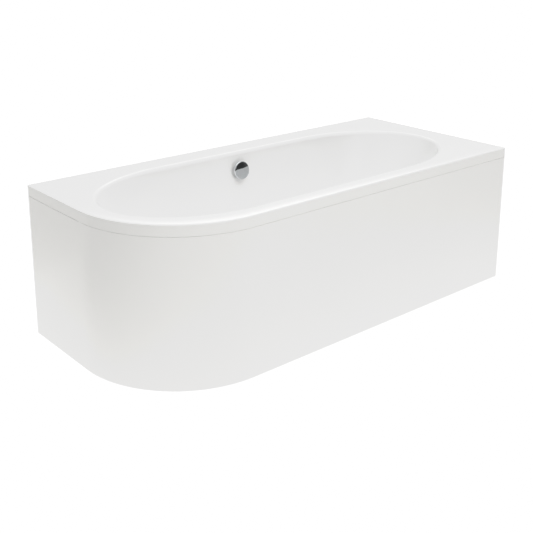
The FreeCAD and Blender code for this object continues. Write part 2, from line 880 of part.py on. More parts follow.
def make_bearers():
    screws = []
    for side, name in ((-1, "leg_bearer_left"), (1, "leg_bearer_right")):
        x = bowl_x + side * bearer_x
        body = new_body(name + "_tube")
        sketch = new_sketch(body, "XZ_Plane", name + "_section")
        for inset in (as_size(0), d.bearer_wall):
            edge = d.bearer_width / 2 - inset
            low = bearer_under + inset
            high = board_under - inset
            draw_outline(sketch, [(-edge, low), (edge, low), (edge, high), (-edge, high)])
        pad(body, sketch, 2 * (foot_offset + d.bearer_overhang), name + "_pad", both_ways=True)
        place(body, x, bowl_y, 0)
        holes = []
        for y in (bowl_y - foot_offset, bowl_y + foot_offset):
            holes.append(cylinder("stud_hole", d.stud_radius + d.fit_gap, (x, y, bearer_under),
                                  d.bearer_height))
        for y in bearer_screw_places():
            holes.append(cylinder("bearer_hole", d.bearer_screw_radius + d.screw_gap,
                                  (x, y, bearer_under), d.bearer_height))
            head = cylinder("bearer_head", d.bearer_head_radius,
                            (x, y, bearer_under - d.bearer_head_height), d.bearer_head_height)
            shank = cylinder("bearer_shank", d.bearer_screw_radius, (x, y, bearer_under),
                             d.bearer_height + d.bearer_screw_bite)
            screws.append(fuse("bearer_screw", head, shank))
        for y in stay_screw_places():
            holes.append(cylinder("stay_pilot", d.stay_screw_radius + d.screw_gap,
                                  (stay_side(side) - d.bearer_wall, y, stay_middle()), d.bearer_wall, "x"))
        node(cut(name + "_drilled", body, *holes), name)
    group("bearer_screws", screws)


def foot_nut(x, y, low):
    blank = doc.addObject("Part::Prism", "nut_blank")
    blank.Polygon = 6
    bind(blank, Circumradius=d.nut_corner_radius, Height=d.nut_height)
    place(blank, x, y, low)
    bore = cylinder("nut_bore", d.stud_radius + d.fit_gap, (x, y, low), d.nut_height)
    return cut("foot_nut", blank, bore)


def make_feet():
    upper = []
    lower = []
    pad_top = d.pad_height + d.pad_boss_height
    for x, side in ((bowl_x - bearer_x, "left"), (bowl_x + bearer_x, "right")):
        for y, end in ((bowl_y - foot_offset, "front"), (bowl_y + foot_offset, "back")):
            name = f"{end}_{side}"
            stud_top = board_under + d.nut_height + d.stud_tail
            stud = cylinder("stud_" + name, d.stud_radius, (x, y, d.pad_base), stud_top - d.pad_base)
            node(stud, "foot_stud_" + name)
            foot = turned("pad_" + name, [
                (0, 0), (d.pad_radius, 0), (d.pad_radius, d.pad_height / 2),
                (d.pad_boss_radius + d.pad_bevel, d.pad_height), (d.pad_boss_radius, d.pad_height),
                (d.pad_boss_radius, pad_top), (d.stud_radius, pad_top), (d.stud_radius, d.pad_base),
                (0, d.pad_base),
            ])
            place(foot, x, y, 0)
            node(foot, "foot_pad_" + name)
            upper.append(foot_nut(x, y, board_under))
            lower.append(foot_nut(x, y, bearer_under - d.nut_height))
    group("foot_upper_nuts", upper)
    group("foot_lower_nuts", lower)


# Wall hooks

def make_hook(name, x, y, turn):
    """A hook strip under the rim skirt; its own X points from the wall into the room."""
    top = skirt_bottom - d.fit_gap
    seat = top - d.hook_metal
    low = top - d.hook_height
    inner = d.hook_depth - d.hook_metal
    body = new_body(name + "_strip")
    sketch = new_sketch(body, "XZ_Plane", name + "_profile")
    draw_outline(sketch, [
        (0, low), (d.hook_metal, low), (d.hook_metal, seat), (d.hook_depth, seat),
        (d.hook_depth, top + d.hook_rise), (inner, top + d.hook_rise), (inner, top), (0, top),
    ])
    pad(body, sketch, d.hook_width, name + "_pad", both_ways=True)
    for step in range(2):
        hole = new_sketch(body, "YZ_Plane", f"{name}_hole_{step}")
        hole.addGeometry(Part.Circle(Vector(0, 0, 0), Vector(0, 0, 1), d.wall_screw_radius.value), False)
        radius = hole.addConstraint(Sketcher.Constraint("Radius", 0, d.wall_screw_radius.value))
        hole.setExpression(f"Constraints[{radius}]", d.wall_screw_radius.formula)
        hole.addConstraint(Sketcher.Constraint("PointOnObject", 0, 3, -2))
        height = low + d.wall_screw_edge + step * d.wall_screw_spacing
        pin_point(hole, "DistanceY", (0, 3), height)
        pocket = body.newObject("PartDesign::Pocket", f"{name}_drill_{step}")
        pocket.Profile = hole
        pocket.Type = "ThroughAll"
        pocket.Midplane = True
    body.Placement = Placement(Vector(0, 0, 0), Rotation(Vector(0, 0, 1), turn))
    place(body, x, y, 0)
    node(body, name)


def make_hooks():
    make_hook("wall_hook_back_left", -d.hook_spread / 2, half_width, -90)
    make_hook("wall_hook_back_right", d.hook_spread / 2, half_width, -90)
    make_hook("wall_hook_end", half_length, d.end_hook_shift, 180)


# Overflow

def across_overflow(items):
    for item in items:
        place_on_overflow(item)
    return items


def make_overflow_body():
    chamber = turned("overflow_chamber", [
        (0, chamber_back), (d.chamber_radius, chamber_back), (d.chamber_radius, chamber_front),
        (d.overflow_flange_radius, chamber_front), (d.overflow_flange_radius, gasket_back), (0, gasket_back),
    ])
    hollow = turned("overflow_hollow", ring_profile(d.chamber_radius - d.chamber_wall, 0,
                                                    chamber_back + d.chamber_wall, gasket_back))
    across_overflow([chamber, hollow])
    spigot = cylinder("overflow_spigot", socket_radius, (bowl_x, pipe_y, upper_socket_end), d.socket_drop)
    gland = cylinder("overflow_gland", d.gland_radius, (bowl_x, pipe_y, chamber_z),
                     d.chamber_radius + d.gland_reach, "-x")
    outer = fuse("overflow_outer", chamber, spigot, gland)
    socket = cylinder("overflow_socket", d.pipe_radius + d.fit_gap, (bowl_x, pipe_y, upper_socket_end),
                      d.socket_depth)
    way = cylinder("overflow_way", d.pipe_radius - d.pipe_wall, (bowl_x, pipe_y, upper_socket_end),
                   d.socket_drop)
    wire_way = cylinder("overflow_wire_way", d.cable_radius + d.fit_gap, (bowl_x, pipe_y, chamber_z),
                        d.chamber_radius + d.gland_reach, "-x")
    shell = cut("overflow_shell", outer, hollow, socket, way, wire_way)
    posts = []
    bores = []
    for side in (-1, 1):
        profile = ring_profile(d.post_radius, 0, chamber_back, chamber_front)
        post = turned("overflow_post", profile)
        bore = turned("overflow_post_bore", ring_profile(d.plate_screw_radius + d.screw_gap, 0,
                                                         chamber_back + d.chamber_wall, chamber_front))
        for item in across_overflow([post, bore]):
            item.setExpression("Placement.Base.x", (bowl_x + side * d.post_offset).formula)
        posts.append(post)
        bores.append(bore)
    node(cut("overflow_bored", fuse("overflow_posted", shell, *posts), *bores), "overflow_body")


def make_overflow_trim():
    gasket = turned("overflow_ring", ring_profile(d.overflow_flange_radius, d.overflow_hole_radius,
                                                  gasket_back, wall_back))
    node(across_overflow([gasket])[0], "overflow_gasket")

    plate = turned("overflow_plate", [
        (d.spindle_radius + d.fit_gap, 0), (d.plate_radius, 0),
        (d.plate_radius, d.plate_thickness), (d.plate_boss_radius, d.plate_thickness),
        (d.plate_boss_radius, d.plate_boss_height), (d.spindle_radius + d.fit_gap, d.plate_boss_height),
    ])
    tools = []
    screws = []
    for turn in range(45, 360, 90):
        along = math.cos(math.radians(turn))
        up = math.sin(math.radians(turn))
        window = turned("plate_window", ring_profile(d.plate_window_radius, 0, 0, d.plate_thickness))
        tools.append(offset_on_overflow(window, along * d.plate_window_offset, up * d.plate_window_offset))
    for side in (-1, 1):
        hole = turned("plate_hole", ring_profile(d.plate_screw_radius + d.screw_gap, 0, 0,
                                                 d.plate_thickness))
        tools.append(offset_on_overflow(hole, side * d.post_offset, as_size(0)))
        top = d.plate_thickness + d.plate_head_height
        screw = turned("plate_screw", [
            (0, -d.plate_screw_reach), (d.plate_screw_radius, -d.plate_screw_reach),
            (d.plate_screw_radius, d.plate_thickness), (d.plate_head_radius, d.plate_thickness),
            (d.plate_head_radius, top), (0, top),
        ])
        screws.append(offset_on_overflow(screw, side * d.post_offset, as_size(0)))
    node(cut("overflow_plate_pierced", across_overflow([plate])[0], *tools), "overflow_faceplate")
    group("overflow_screws", screws)


def offset_on_overflow(item, along, up):
    """Sets an item on the overflow axis, moved along X and up the wall's face."""
    place_on_overflow(item)
    place(item, bowl_x + along, overflow_y + up * lean_sin, overflow_z + up * lean_cos)
    return item


def make_knob():
    front = d.knob_standoff + d.knob_depth
    inner = front - d.knob_wall
    hub_low = d.plate_boss_height + d.fit_gap
    knob = turned("knob_blank", [
        (d.spindle_radius, hub_low), (d.knob_hub_radius, hub_low), (d.knob_hub_radius, inner),
        (d.knob_radius - d.knob_wall, inner), (d.knob_radius - d.knob_wall, d.knob_standoff),
        (d.knob_radius, d.knob_standoff), (d.knob_radius, front), (0, front),
        (0, hub_low + d.spindle_seat), (d.spindle_radius, hub_low + d.spindle_seat),
    ])
    doc.recompute()
    turn = knob.Tip
    edges = [
        f"Edge{number}" for number, edge in enumerate(turn.Shape.Edges, start=1)
        if on_level(front)(edge.BoundBox)
    ]
    rounding = knob.newObject("PartDesign::Fillet", "knob_edge")
    rounding.Base = (turn, edges)
    bind(rounding, Radius=d.knob_edge_radius)
    node(across_overflow([knob])[0], "overflow_knob")

    crank_back = chamber_back + d.chamber_wall + d.crank_gap
    crank_front = crank_back + d.crank_thickness
    seat = hub_low + d.spindle_seat
    spindle = turned("spindle", [
        (0, crank_back), (d.crank_radius, crank_back), (d.crank_radius, crank_front),
        (d.spindle_radius, crank_front), (d.spindle_radius, seat), (0, seat),
    ])
    node(across_overflow([spindle])[0], "knob_spindle")


def pipe_nut(name, direction):
    """A nut over the end of a pipe socket, made along Z with its shoulder at the bottom."""
    outer = socket_radius + d.fit_gap + d.pipe_nut_wall
    body = turned(name, [
        (d.pipe_radius + d.fit_gap, 0), (outer, 0), (outer, d.pipe_nut_length),
        (socket_radius + d.fit_gap, d.pipe_nut_length), (socket_radius + d.fit_gap, d.pipe_nut_shoulder),
        (d.pipe_radius + d.fit_gap, d.pipe_nut_shoulder),
    ])
    body.Placement = Placement(Vector(0, 0, 0), direction)
    return node(body, name)


def make_overflow_pipe():
    top = upper_socket_end + d.socket_depth - d.fit_gap
    end = inlet_end - d.socket_depth + d.fit_gap
    points = [(bowl_x, pipe_y, top), (bowl_x, pipe_y, inlet_z), (bowl_x, end, inlet_z)]
    outer = rod("pipe_outer", points, [d.pipe_bend_radius], d.pipe_radius)
    inner = rod("pipe_inner", points, [d.pipe_bend_radius], d.pipe_radius - d.pipe_wall)
    node(cut("pipe_bored", outer, inner), "overflow_pipe")
    upper = pipe_nut("overflow_pipe_nut_upper", Rotation())
    place(upper, bowl_x, pipe_y, upper_socket_end - d.pipe_nut_shoulder)
    lower = pipe_nut("overflow_pipe_nut_lower", Rotation(Vector(0, 0, 1), Vector(0, -1, 0)))
    place(lower, bowl_x, inlet_end + d.pipe_nut_shoulder, inlet_z)


def make_cable():
    upper_x = bowl_x - d.chamber_radius - d.fit_gap
    lower_x = bowl_x - d.body_radius - d.fit_gap
    outer_x = bowl_x - d.cable_offset
    points = [
        (upper_x, pipe_y, chamber_z), (outer_x, pipe_y, chamber_z),
        (outer_x, pipe_y, cable_low_z), (outer_x, bowl_y, cable_low_z),
        (lower_x, bowl_y, cable_low_z),
    ]
    bends = [d.cable_end_bend, d.cable_low_bend, d.cable_end_bend]
    node(rod("cable_sheath", points, bends, d.cable_radius), "control_cable")
    for name, mouth, y, z in (
        ("cable_nut_upper", d.chamber_radius + d.gland_reach, pipe_y, chamber_z),
        ("cable_nut_lower", d.body_radius + d.gland_reach, bowl_y, cable_low_z),
    ):
        blank = cylinder(name + "_blank", d.gland_radius, (bowl_x - mouth, y, z), d.cable_nut_length, "-x")
        bore = cylinder(name + "_bore", d.cable_radius + d.fit_gap, (bowl_x - mouth, y, z), d.cable_nut_length, "-x")
        node(cut(name + "_ring", blank, bore), name)


# Waste

def make_waste_flange():
    bore = d.tail_radius - d.tail_wall
    dish = bore + d.flange_height
    body = turned("flange_blank", [
        (bore, tail_bottom), (d.tail_radius, tail_bottom), (d.tail_radius, flange_bottom),
        (d.flange_radius, flange_bottom), (d.flange_radius, flange_top - d.flange_bevel),
        (d.flange_radius - d.flange_bevel, flange_top), (dish, flange_top), (bore, flange_bottom),
    ])
    place(body, bowl_x, bowl_y, 0)
    low = tail_bottom + d.spider_lift
    high = low + d.spider_height
    arm = bore + d.tail_wall / 2
    bar = d.spider_bar / 2
    bars = [
        box("spider_long", (bowl_x - arm, bowl_y - bar, low), (bowl_x + arm, bowl_y + bar, high)),
        box("spider_cross", (bowl_x - bar, bowl_y - arm, low), (bowl_x + bar, bowl_y + arm, high)),
        cylinder("spider_guide", d.guide_radius, (bowl_x, bowl_y, low), d.spider_height),
    ]
    guide = cylinder("guide_bore", d.stem_radius + d.fit_gap, (bowl_x, bowl_y, low), d.spider_height)
    node(cut("flange_guided", fuse("flange_spider", body, *bars), guide), "waste_flange")

    seal = turned("flange_ring", ring_profile(d.flange_radius - d.flange_bevel, d.waste_hole_radius,
                                              floor_top, flange_bottom))
    place(seal, bowl_x, bowl_y, 0)
    node(seal, "waste_flange_seal")
    gasket = turned("gasket_ring", ring_profile(d.body_flange_radius, d.waste_hole_radius,
                                                body_top, floor_under))
    place(gasket, bowl_x, bowl_y, 0)
    node(gasket, "waste_gasket")


def make_waste_body():
    outer = fuse(
        "waste_outer",
        cylinder("waste_flange_disc", d.body_flange_radius, (bowl_x, bowl_y, body_shoulder),
                 d.body_flange_thickness),
        cylinder("waste_barrel", d.body_radius, (bowl_x, bowl_y, body_bottom), d.body_height),
        cylinder("waste_outlet", d.outlet_radius, (bowl_x, bowl_y, outlet_end), d.outlet_length),
        cylinder("waste_inlet", socket_radius, (bowl_x, bowl_y, inlet_z), inlet_end - bowl_y, "y"),
        cylinder("waste_gland", d.gland_radius, (bowl_x, bowl_y, cable_low_z),
                 d.body_radius + d.gland_reach, "-x"),
    )
    neck = d.tail_radius + d.screw_gap
    hollow = [
        cylinder("waste_chamber", body_bore, (bowl_x, bowl_y, chamber_floor), tail_bottom - chamber_floor),
        cylinder("waste_neck", neck, (bowl_x, bowl_y, tail_bottom), body_top - tail_bottom),
        cylinder("waste_drain", d.outlet_radius - d.outlet_wall, (bowl_x, bowl_y, outlet_end),
                 chamber_floor - outlet_end),
        cylinder("waste_inlet_way", d.pipe_radius - d.pipe_wall, (bowl_x, bowl_y, inlet_z),
                 inlet_end - bowl_y, "y"),
        cylinder("waste_socket", d.pipe_radius + d.fit_gap, (bowl_x, inlet_end - d.socket_depth, inlet_z),
                 d.socket_depth, "y"),
        cylinder("waste_wire_way", d.cable_radius + d.fit_gap, (bowl_x, bowl_y, cable_low_z),
                 d.body_radius + d.gland_reach, "-x"),
    ]
    shell = cut("waste_shell", outer, *hollow)
    lug_inner = d.lever_width / 2 + d.lever_side_gap
    lug_outer = lug_inner + d.lug_thickness
    lug_top = pivot_z + d.lever_hub_radius
    lugs = []
    for near, far in ((lug_inner, lug_outer), (-lug_outer, -lug_inner)):
        lugs.append(box("lever_lug",
                        (pivot_x - d.lever_hub_radius, bowl_y + near, body_bottom),
                        (pivot_x + d.lever_hub_radius, bowl_y + far, lug_top)))
    bore = cylinder("lug_bore", d.lever_pin_radius + d.screw_gap,
                    (pivot_x, bowl_y - lug_outer, pivot_z), 2 * lug_outer, "y")
    node(cut("waste_lugged", fuse("waste_with_lugs", shell, *lugs), bore), "waste_body")
    pin = cylinder("pin_rod", d.lever_pin_radius, (pivot_x, bowl_y - lug_outer, pivot_z),
                   2 * lug_outer, "y")
    node(pin, "lever_pin")


def make_lever():
    side = d.lever_width / 2
    half = d.lever_thickness / 2
    hub = cylinder("lever_hub", d.lever_hub_radius, (pivot_x, bowl_y - side, pivot_z),
                   d.lever_width, "y")
    arm = box("lever_arm", (pivot_x, bowl_y - side, pivot_z - half),
              (bowl_x + d.lever_overrun, bowl_y + side, lever_top))
    crank = box("lever_upright", (pivot_x - half, bowl_y - side, pivot_z),
                (pivot_x + half, bowl_y + side, pivot_z + d.lever_crank))
    bore = cylinder("lever_bore", d.lever_pin_radius + d.fit_gap,
                    (pivot_x, bowl_y - side, pivot_z), d.lever_width, "y")
    node(cut("lever_bored", fuse("lever_blank", hub, arm, crank), bore), "lift_lever")


def make_plug():
    edge = plug_bottom + d.plug_edge
    top = plug_bottom + d.plug_height
    body = new_body("plug_dome")
    sketch = new_sketch(body, "XZ_Plane", "plug_profile")
    rise = top - edge
    sphere = (d.plug_radius * d.plug_radius + rise * rise) / (2 * rise)
    draw_outline(sketch, [(0, plug_bottom), (d.plug_radius, plug_bottom), (d.plug_radius, edge), (0, top)],
                 {2: ((0, top - sphere), True)})
    turn = body.newObject("PartDesign::Revolution", "plug_turn")
    turn.Profile = sketch
    turn.ReferenceAxis = (sketch, ["V_Axis"])
    turn.Angle = 360
    place(body, bowl_x, bowl_y, 0)
    node(body, "plug_cap")
    seal = turned("plug_ring", ring_profile(d.plug_seal_radius, d.plug_seal_radius - d.plug_seal_width,
                                            flange_top + d.fit_gap, plug_bottom))
    place(seal, bowl_x, bowl_y, 0)
    node(seal, "plug_seal")
    stem_bottom = plug_bottom - d.stem_length
    stem = cylinder("stem", d.stem_radius, (bowl_x, bowl_y, stem_bottom), d.stem_length)
    node(stem, "plug_stem")
    tip = lever_top + d.fit_gap
    shoulder = tip + d.stem_tip_length
    pin_top = stem_bottom - d.fit_gap
    pin = turned("lifter", [
        (0, tip), (d.stem_tip_radius, tip), (d.stem_tip_radius, shoulder),
        (d.stem_radius, shoulder), (d.stem_radius, pin_top), (0, pin_top),
    ])
    place(pin, bowl_x, bowl_y, 0)
    node(pin, "lift_pin")


# Trap

def trap_nut(name, low, shoulder_up):
    """A nut whose shoulder bears on a pipe lip, below the thread or above it."""
    length = d.trap_nut_thread + d.trap_washer + d.trap_lip + d.trap_nut_shoulder
    tube = d.trap_radius + d.fit_gap
    step = length - d.trap_nut_shoulder if shoulder_up else d.trap_nut_shoulder
    below, above = (thread_bore, tube) if shoulder_up else (tube, thread_bore)
    body = turned(name, [
        (below, low), (d.trap_nut_radius, low), (d.trap_nut_radius, low + length), (above, low + length),
        (above, low + step), (below, low + step),
    ])
    return node(body, name)


def trap_ring(name, low):
    return node(turned(name, ring_profile(lip_radius_trap, trap_bore, low, low + d.trap_washer)), name)


def make_trap():
    mouth = (bowl_x, bowl_y, trap_mouth)
    bend_points = [
        mouth, (bowl_x, bowl_y, bend_z - d.trap_bend_radius),
        (trap_out_x, bowl_y, bend_z - d.trap_bend_radius), (trap_out_x, bowl_y, swivel_seat),
    ]
    outer = half_circle_rod("trap_bend_outer", bend_points, d.trap_bend_radius, d.trap_radius)
    inner = half_circle_rod("trap_bend_inner", bend_points, d.trap_bend_radius, trap_bore)
    lip = cylinder("trap_inlet_lip", lip_radius_trap, (bowl_x, bowl_y, trap_mouth - d.trap_lip), d.trap_lip)
    thread = cylinder("trap_outlet_thread", d.outlet_radius, (trap_out_x, bowl_y, bend_z), d.trap_nut_thread)
    node(cut("trap_bend_bored", fuse("trap_bend_blank", outer, lip, thread), inner), "trap_bend")

    union = trap_nut("trap_union_nut", trap_mouth - d.trap_lip - d.trap_nut_shoulder, False)
    washer = trap_ring("trap_inlet_washer", trap_mouth)
    swivel = trap_nut("trap_swivel_nut", bend_z, True)
    seal = trap_ring("trap_outlet_washer", swivel_seat)
    for item, x in ((union, bowl_x), (washer, bowl_x), (swivel, trap_out_x), (seal, trap_out_x)):
        place(item, x, bowl_y, 0)

    run_end = bowl_y + d.trap_run
    points = [(trap_out_x, bowl_y, elbow_seat), (trap_out_x, bowl_y, trap_out_z),
              (trap_out_x, run_end, trap_out_z)]
    tube = rod("outlet_outer", points, [d.trap_elbow_radius], d.trap_radius)
    way = rod("outlet_inner", points, [d.trap_elbow_radius], trap_bore)
    collar = cylinder("outlet_lip", lip_radius_trap, (trap_out_x, bowl_y, elbow_seat), d.trap_lip)
    spigot = cylinder("outlet_spigot", d.spigot_radius,
                      (trap_out_x, run_end - d.spigot_length, trap_out_z), d.spigot_length, "y")
    node(cut("outlet_bored", fuse("outlet_blank", tube, collar, spigot), way), "trap_outlet_pipe")


make_shell()
make_battens()
make_panel()
make_clips()
make_stays()
make_baseboard()
make_bearers()
make_feet()
make_hooks()
make_overflow_body()
make_overflow_trim()
make_knob()
make_overflow_pipe()
make_cable()
make_waste_flange()
make_waste_body()
make_lever()
make_plug()
make_trap()
doc.recompute()

for item in doc.Objects:
    if "Invalid" in item.State or "Error" in item.State:
        raise RuntimeError(f"{item.Label} failed: {item.State}")
for name, item in nodes.items():
    if item.Shape.isNull() or not item.Shape.isValid() or not item.Shape.Solids:
        raise RuntimeError(f"{name} has no sound solid")
for name, item in nodes.items():
    item.Shape.exportStep(f"parts/{name}.step")
print(len(nodes), "sub-parts written")
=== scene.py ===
import math

import bmesh
import bpy
from mathutils import Matrix, Vector


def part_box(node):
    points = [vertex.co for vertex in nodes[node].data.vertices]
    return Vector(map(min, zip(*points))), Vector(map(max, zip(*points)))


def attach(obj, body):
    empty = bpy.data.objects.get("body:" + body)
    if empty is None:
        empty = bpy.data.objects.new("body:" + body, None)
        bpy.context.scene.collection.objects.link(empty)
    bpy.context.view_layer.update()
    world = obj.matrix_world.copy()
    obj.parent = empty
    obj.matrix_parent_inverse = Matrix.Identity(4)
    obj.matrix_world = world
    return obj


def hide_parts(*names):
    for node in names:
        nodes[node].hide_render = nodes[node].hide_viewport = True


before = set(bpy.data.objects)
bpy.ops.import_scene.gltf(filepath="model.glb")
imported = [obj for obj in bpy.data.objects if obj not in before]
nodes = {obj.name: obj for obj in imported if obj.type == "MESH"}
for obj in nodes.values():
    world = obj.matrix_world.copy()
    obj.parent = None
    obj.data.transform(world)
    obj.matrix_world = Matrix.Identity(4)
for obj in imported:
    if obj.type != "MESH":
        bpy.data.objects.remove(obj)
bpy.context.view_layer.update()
scene = bpy.context.scene
MM = 0.001

# Sizes that the pieces share with the solids, in millimetres. OPENING and FLOOR are the bowl's half length,
# half width and end radius, at the rim and at the floor.
HALF_LENGTH, HALF_WIDTH, HEIGHT = 850, 375, 555
CORNER = 390
SOFT_CORNER = 6
WALL = 6
SKIRT = 42
SEAM = 2
LIP = 18
FLOOR_Z = 150
FLOOR_ROUND = 80
BOWL_X, BOWL_Y = -25, -24
DRAIN = (BOWL_X, BOWL_Y, 0)
OPENING = (757, 283, 390)
FLOOR = (500, 205, 240)
WASTE_HOLE = 24.5
OVERFLOW_HOLE = 25
PANEL_WALL = 5
PANEL_TOP = HEIGHT - SKIRT - SEAM
PANEL_RETURN = 35
KNOB_AT = (BOWL_X, 245.133, 483)
KNOB_AXIS = (0, -0.981954, 0.189116)
FEET = {"front_left": (-405, -259), "front_right": (355, -259),
        "back_left": (-405, 211), "back_right": (355, 211)}

# Sizes of the scene's own, in millimetres: the rim's crown (down and inwards), how far the panel's top edge is
# drawn up into the seam, and the least corner radius in plan.
EDGE, EDGE_REACH = 5, 42
PANEL_RAISE = 1.65
LEAST_ROUND = 0.8

# Brightness at which the stage shows as plain white paper.
PAPER = 1.45


# Shader nodes

def add_node(tree, kind, inputs=None, **settings):
    """Adds a shader node; an input is a value or the socket that feeds it."""
    item = tree.nodes.new(kind)
    for name, value in settings.items():
        setattr(item, name, value)
    for name, value in (inputs or {}).items():
        if isinstance(value, bpy.types.NodeSocket):
            tree.links.new(value, item.inputs[name])
        else:
            item.inputs[name].default_value = value
    return item


def start_material(name, **constants):
    material = bpy.data.materials.new(name)
    material.use_nodes = True
    tree = material.node_tree
    shader = tree.nodes["Principled BSDF"]
    for key, value in constants.items():
        shader.inputs[key.replace("_", " ").title().replace("Ior", "IOR")].default_value = value
    place = add_node(tree, "ShaderNodeTexCoord").outputs["Object"]
    return material, tree, shader, place


def stretched(tree, place, scale, turn=(0, 0, 0)):
    """Coordinates turned first and then scaled along the turned axes."""
    turned = add_node(tree, "ShaderNodeMapping", {"Vector": place, "Rotation": turn}).outputs["Vector"]
    return add_node(tree, "ShaderNodeMapping", {"Vector": turned, "Scale": scale}).outputs["Vector"]


def noise(tree, place, scale, detail=3, roughness=0.5, distortion=0):
    return add_node(tree, "ShaderNodeTexNoise", {
        "Vector": place, "Scale": scale, "Detail": detail, "Roughness": roughness, "Distortion": distortion,
    }).outputs["Fac"]


def cells(tree, place, scale):
    """A value that differs from cell to cell, and the distance from each cell's middle."""
    item = add_node(tree, "ShaderNodeTexVoronoi", {"Vector": place, "Scale": scale, "Randomness": 1})
    value = add_node(tree, "ShaderNodeSeparateColor", {"Color": item.outputs["Color"]}).outputs["Red"]
    return value, item.outputs["Distance"]


def ramp(tree, factor, *stops):
    """Maps a factor to colours or to grey levels, given as (place, value) stops."""
    item = add_node(tree, "ShaderNodeValToRGB", {"Fac": factor})
    elements = item.color_ramp.elements
    while len(elements) < len(stops):
        elements.new(0.5)
    for element, (at, value) in zip(elements, stops):
        element.position = at
        grey = isinstance(value, (int, float))
        element.color = (value, value, value, 1) if grey else (*value, 1)
    return item.outputs["Color"]


def mix(tree, first, second, factor=1.0, blend="MIX"):
    """Blends two colours. The node's colour sockets have the numbers 6 and 7, and its colour result number 2."""
    item = add_node(tree, "ShaderNodeMix", {"Factor": factor, 6: first, 7: second}, data_type="RGBA",
                    blend_type=blend)
    return item.outputs[2]


def calculate(tree, operation, *values):
    return add_node(tree, "ShaderNodeMath", dict(enumerate(values)), operation=operation).outputs["Value"]


def reach_along(tree, place, direction):
    """How far a point lies along a direction."""
    item = add_node(tree, "ShaderNodeVectorMath", {0: place, 1: direction}, operation="DOT_PRODUCT")
    return item.outputs["Value"]


def smooth_step(tree, value, span, result):
    """Goes smoothly from one result to the other while a value crosses a span."""
    return add_node(tree, "ShaderNodeMapRange", {
        "Value": value, "From Min": span[0], "From Max": span[1], "To Min": result[0], "To Max": result[1],
    }, interpolation_type="SMOOTHSTEP").outputs["Result"]


def bump(tree, shader, *layers):
    """Feeds the shader's normal with bumps, given as (height, strength, distance in mm)."""
    normal = None
    for height, strength, distance in layers:
        inputs = {"Height": height, "Strength": strength, "Distance": distance * MM}
        if normal:
            inputs["Normal"] = normal
        normal = add_node(tree, "ShaderNodeBump", inputs).outputs["Normal"]
    tree.links.new(normal, shader.inputs["Normal"])


def feed(tree, shader, **sockets):
    for name, socket in sockets.items():
        tree.links.new(socket, shader.inputs[name.replace("_", " ").title()])


# Materials

def acrylic_material():
    """Vacuum-formed gloss acrylic: even white, a trace of waviness and orange peel in the gloss."""
    material, tree, shader, place = start_material("acrylic_gloss", ior=1.49, coat_weight=0.2,
                                                   coat_roughness=0.04)
    cloud = noise(tree, place, 2.2)
    haze = noise(tree, place, 28, 4)
    feed(tree, shader,
         base_color=ramp(tree, cloud, (0.3, (0.897, 0.896, 0.890)), (0.7, (0.911, 0.910, 0.905))),
         roughness=ramp(tree, haze, (0.3, 0.13), (0.7, 0.2)))
    bump(tree, shader, (noise(tree, place, 7, 1), 0.12, 0.9), (noise(tree, place, 260, 2), 0.05, 0.05))
    return material


def glass_fibre_material():
    """Sprayed resin and chopped strands on the back of the acrylic."""
    material, tree, shader, place = start_material("glass_fibre_backing", ior=1.52)
    turns = ((0, 0.4, 0.3), (0, -0.7, -0.4), (0, 1.3, 0.6), (0, 0.2, 1.2), (0, -0.5, 2.1), (0, 0.9, 1.7))
    strands = None
    for turn in turns:
        streak = noise(tree, stretched(tree, place, (24, 380, 380), turn), 1, 1)
        mask = ramp(tree, streak, (0.62, 0.0), (0.7, 1.0))
        strands = calculate(tree, "MAXIMUM", strands, mask) if strands else mask
    cloud = noise(tree, place, 9, 4)
    tint = ramp(tree, cloud, (0.3, (0.50, 0.49, 0.43)), (0.7, (0.60, 0.59, 0.53)))
    feed(tree, shader,
         base_color=mix(tree, tint, (0.70, 0.69, 0.64, 1), strands),
         roughness=ramp(tree, cloud, (0.3, 0.42), (0.7, 0.62)))
    bump(tree, shader, (cloud, 0.5, 2.5), (strands, 0.5, 0.5), (noise(tree, place, 500, 2), 0.2, 0.2))
    return material


def chrome_material(name, dark, light):
    """Chrome plate with a faint haze between two close tints."""
    material, tree, shader, place = start_material(name, metallic=1.0)
    haze = noise(tree, place, 90, 4, 0.6)
    feed(tree, shader,
         base_color=ramp(tree, haze, (0.3, dark), (0.7, light)),
         roughness=ramp(tree, haze, (0.35, 0.035), (0.75, 0.085)))
    return material


def timber_material(name, along):
    """Planed softwood with growth bands and pores that run along one axis (0 for X, 1 for Y)."""
    material, tree, shader, place = start_material(name)
    grain = [70.0, 70.0, 70.0]
    pores = [600.0, 600.0, 600.0]
    grain[along] = 1.6
    pores[along] = 14.0
    bands = noise(tree, stretched(tree, place, grain), 1, 3, 0.55, 0.6)
    pits = noise(tree, stretched(tree, place, pores), 1, 2)
    tint = ramp(tree, bands, (0.3, (0.34, 0.205, 0.10)), (0.48, (0.52, 0.35, 0.19)),
                (0.62, (0.60, 0.43, 0.25)))
    dark = ramp(tree, pits, (0.32, (0.62, 0.56, 0.5)), (0.5, (1, 1, 1)))
    feed(tree, shader,
         base_color=mix(tree, tint, dark, blend="MULTIPLY"),
         roughness=ramp(tree, bands, (0.3, 0.5), (0.7, 0.72)))
    bump(tree, shader, (bands, 0.25, 0.3), (pits, 0.35, 0.15))
    return material


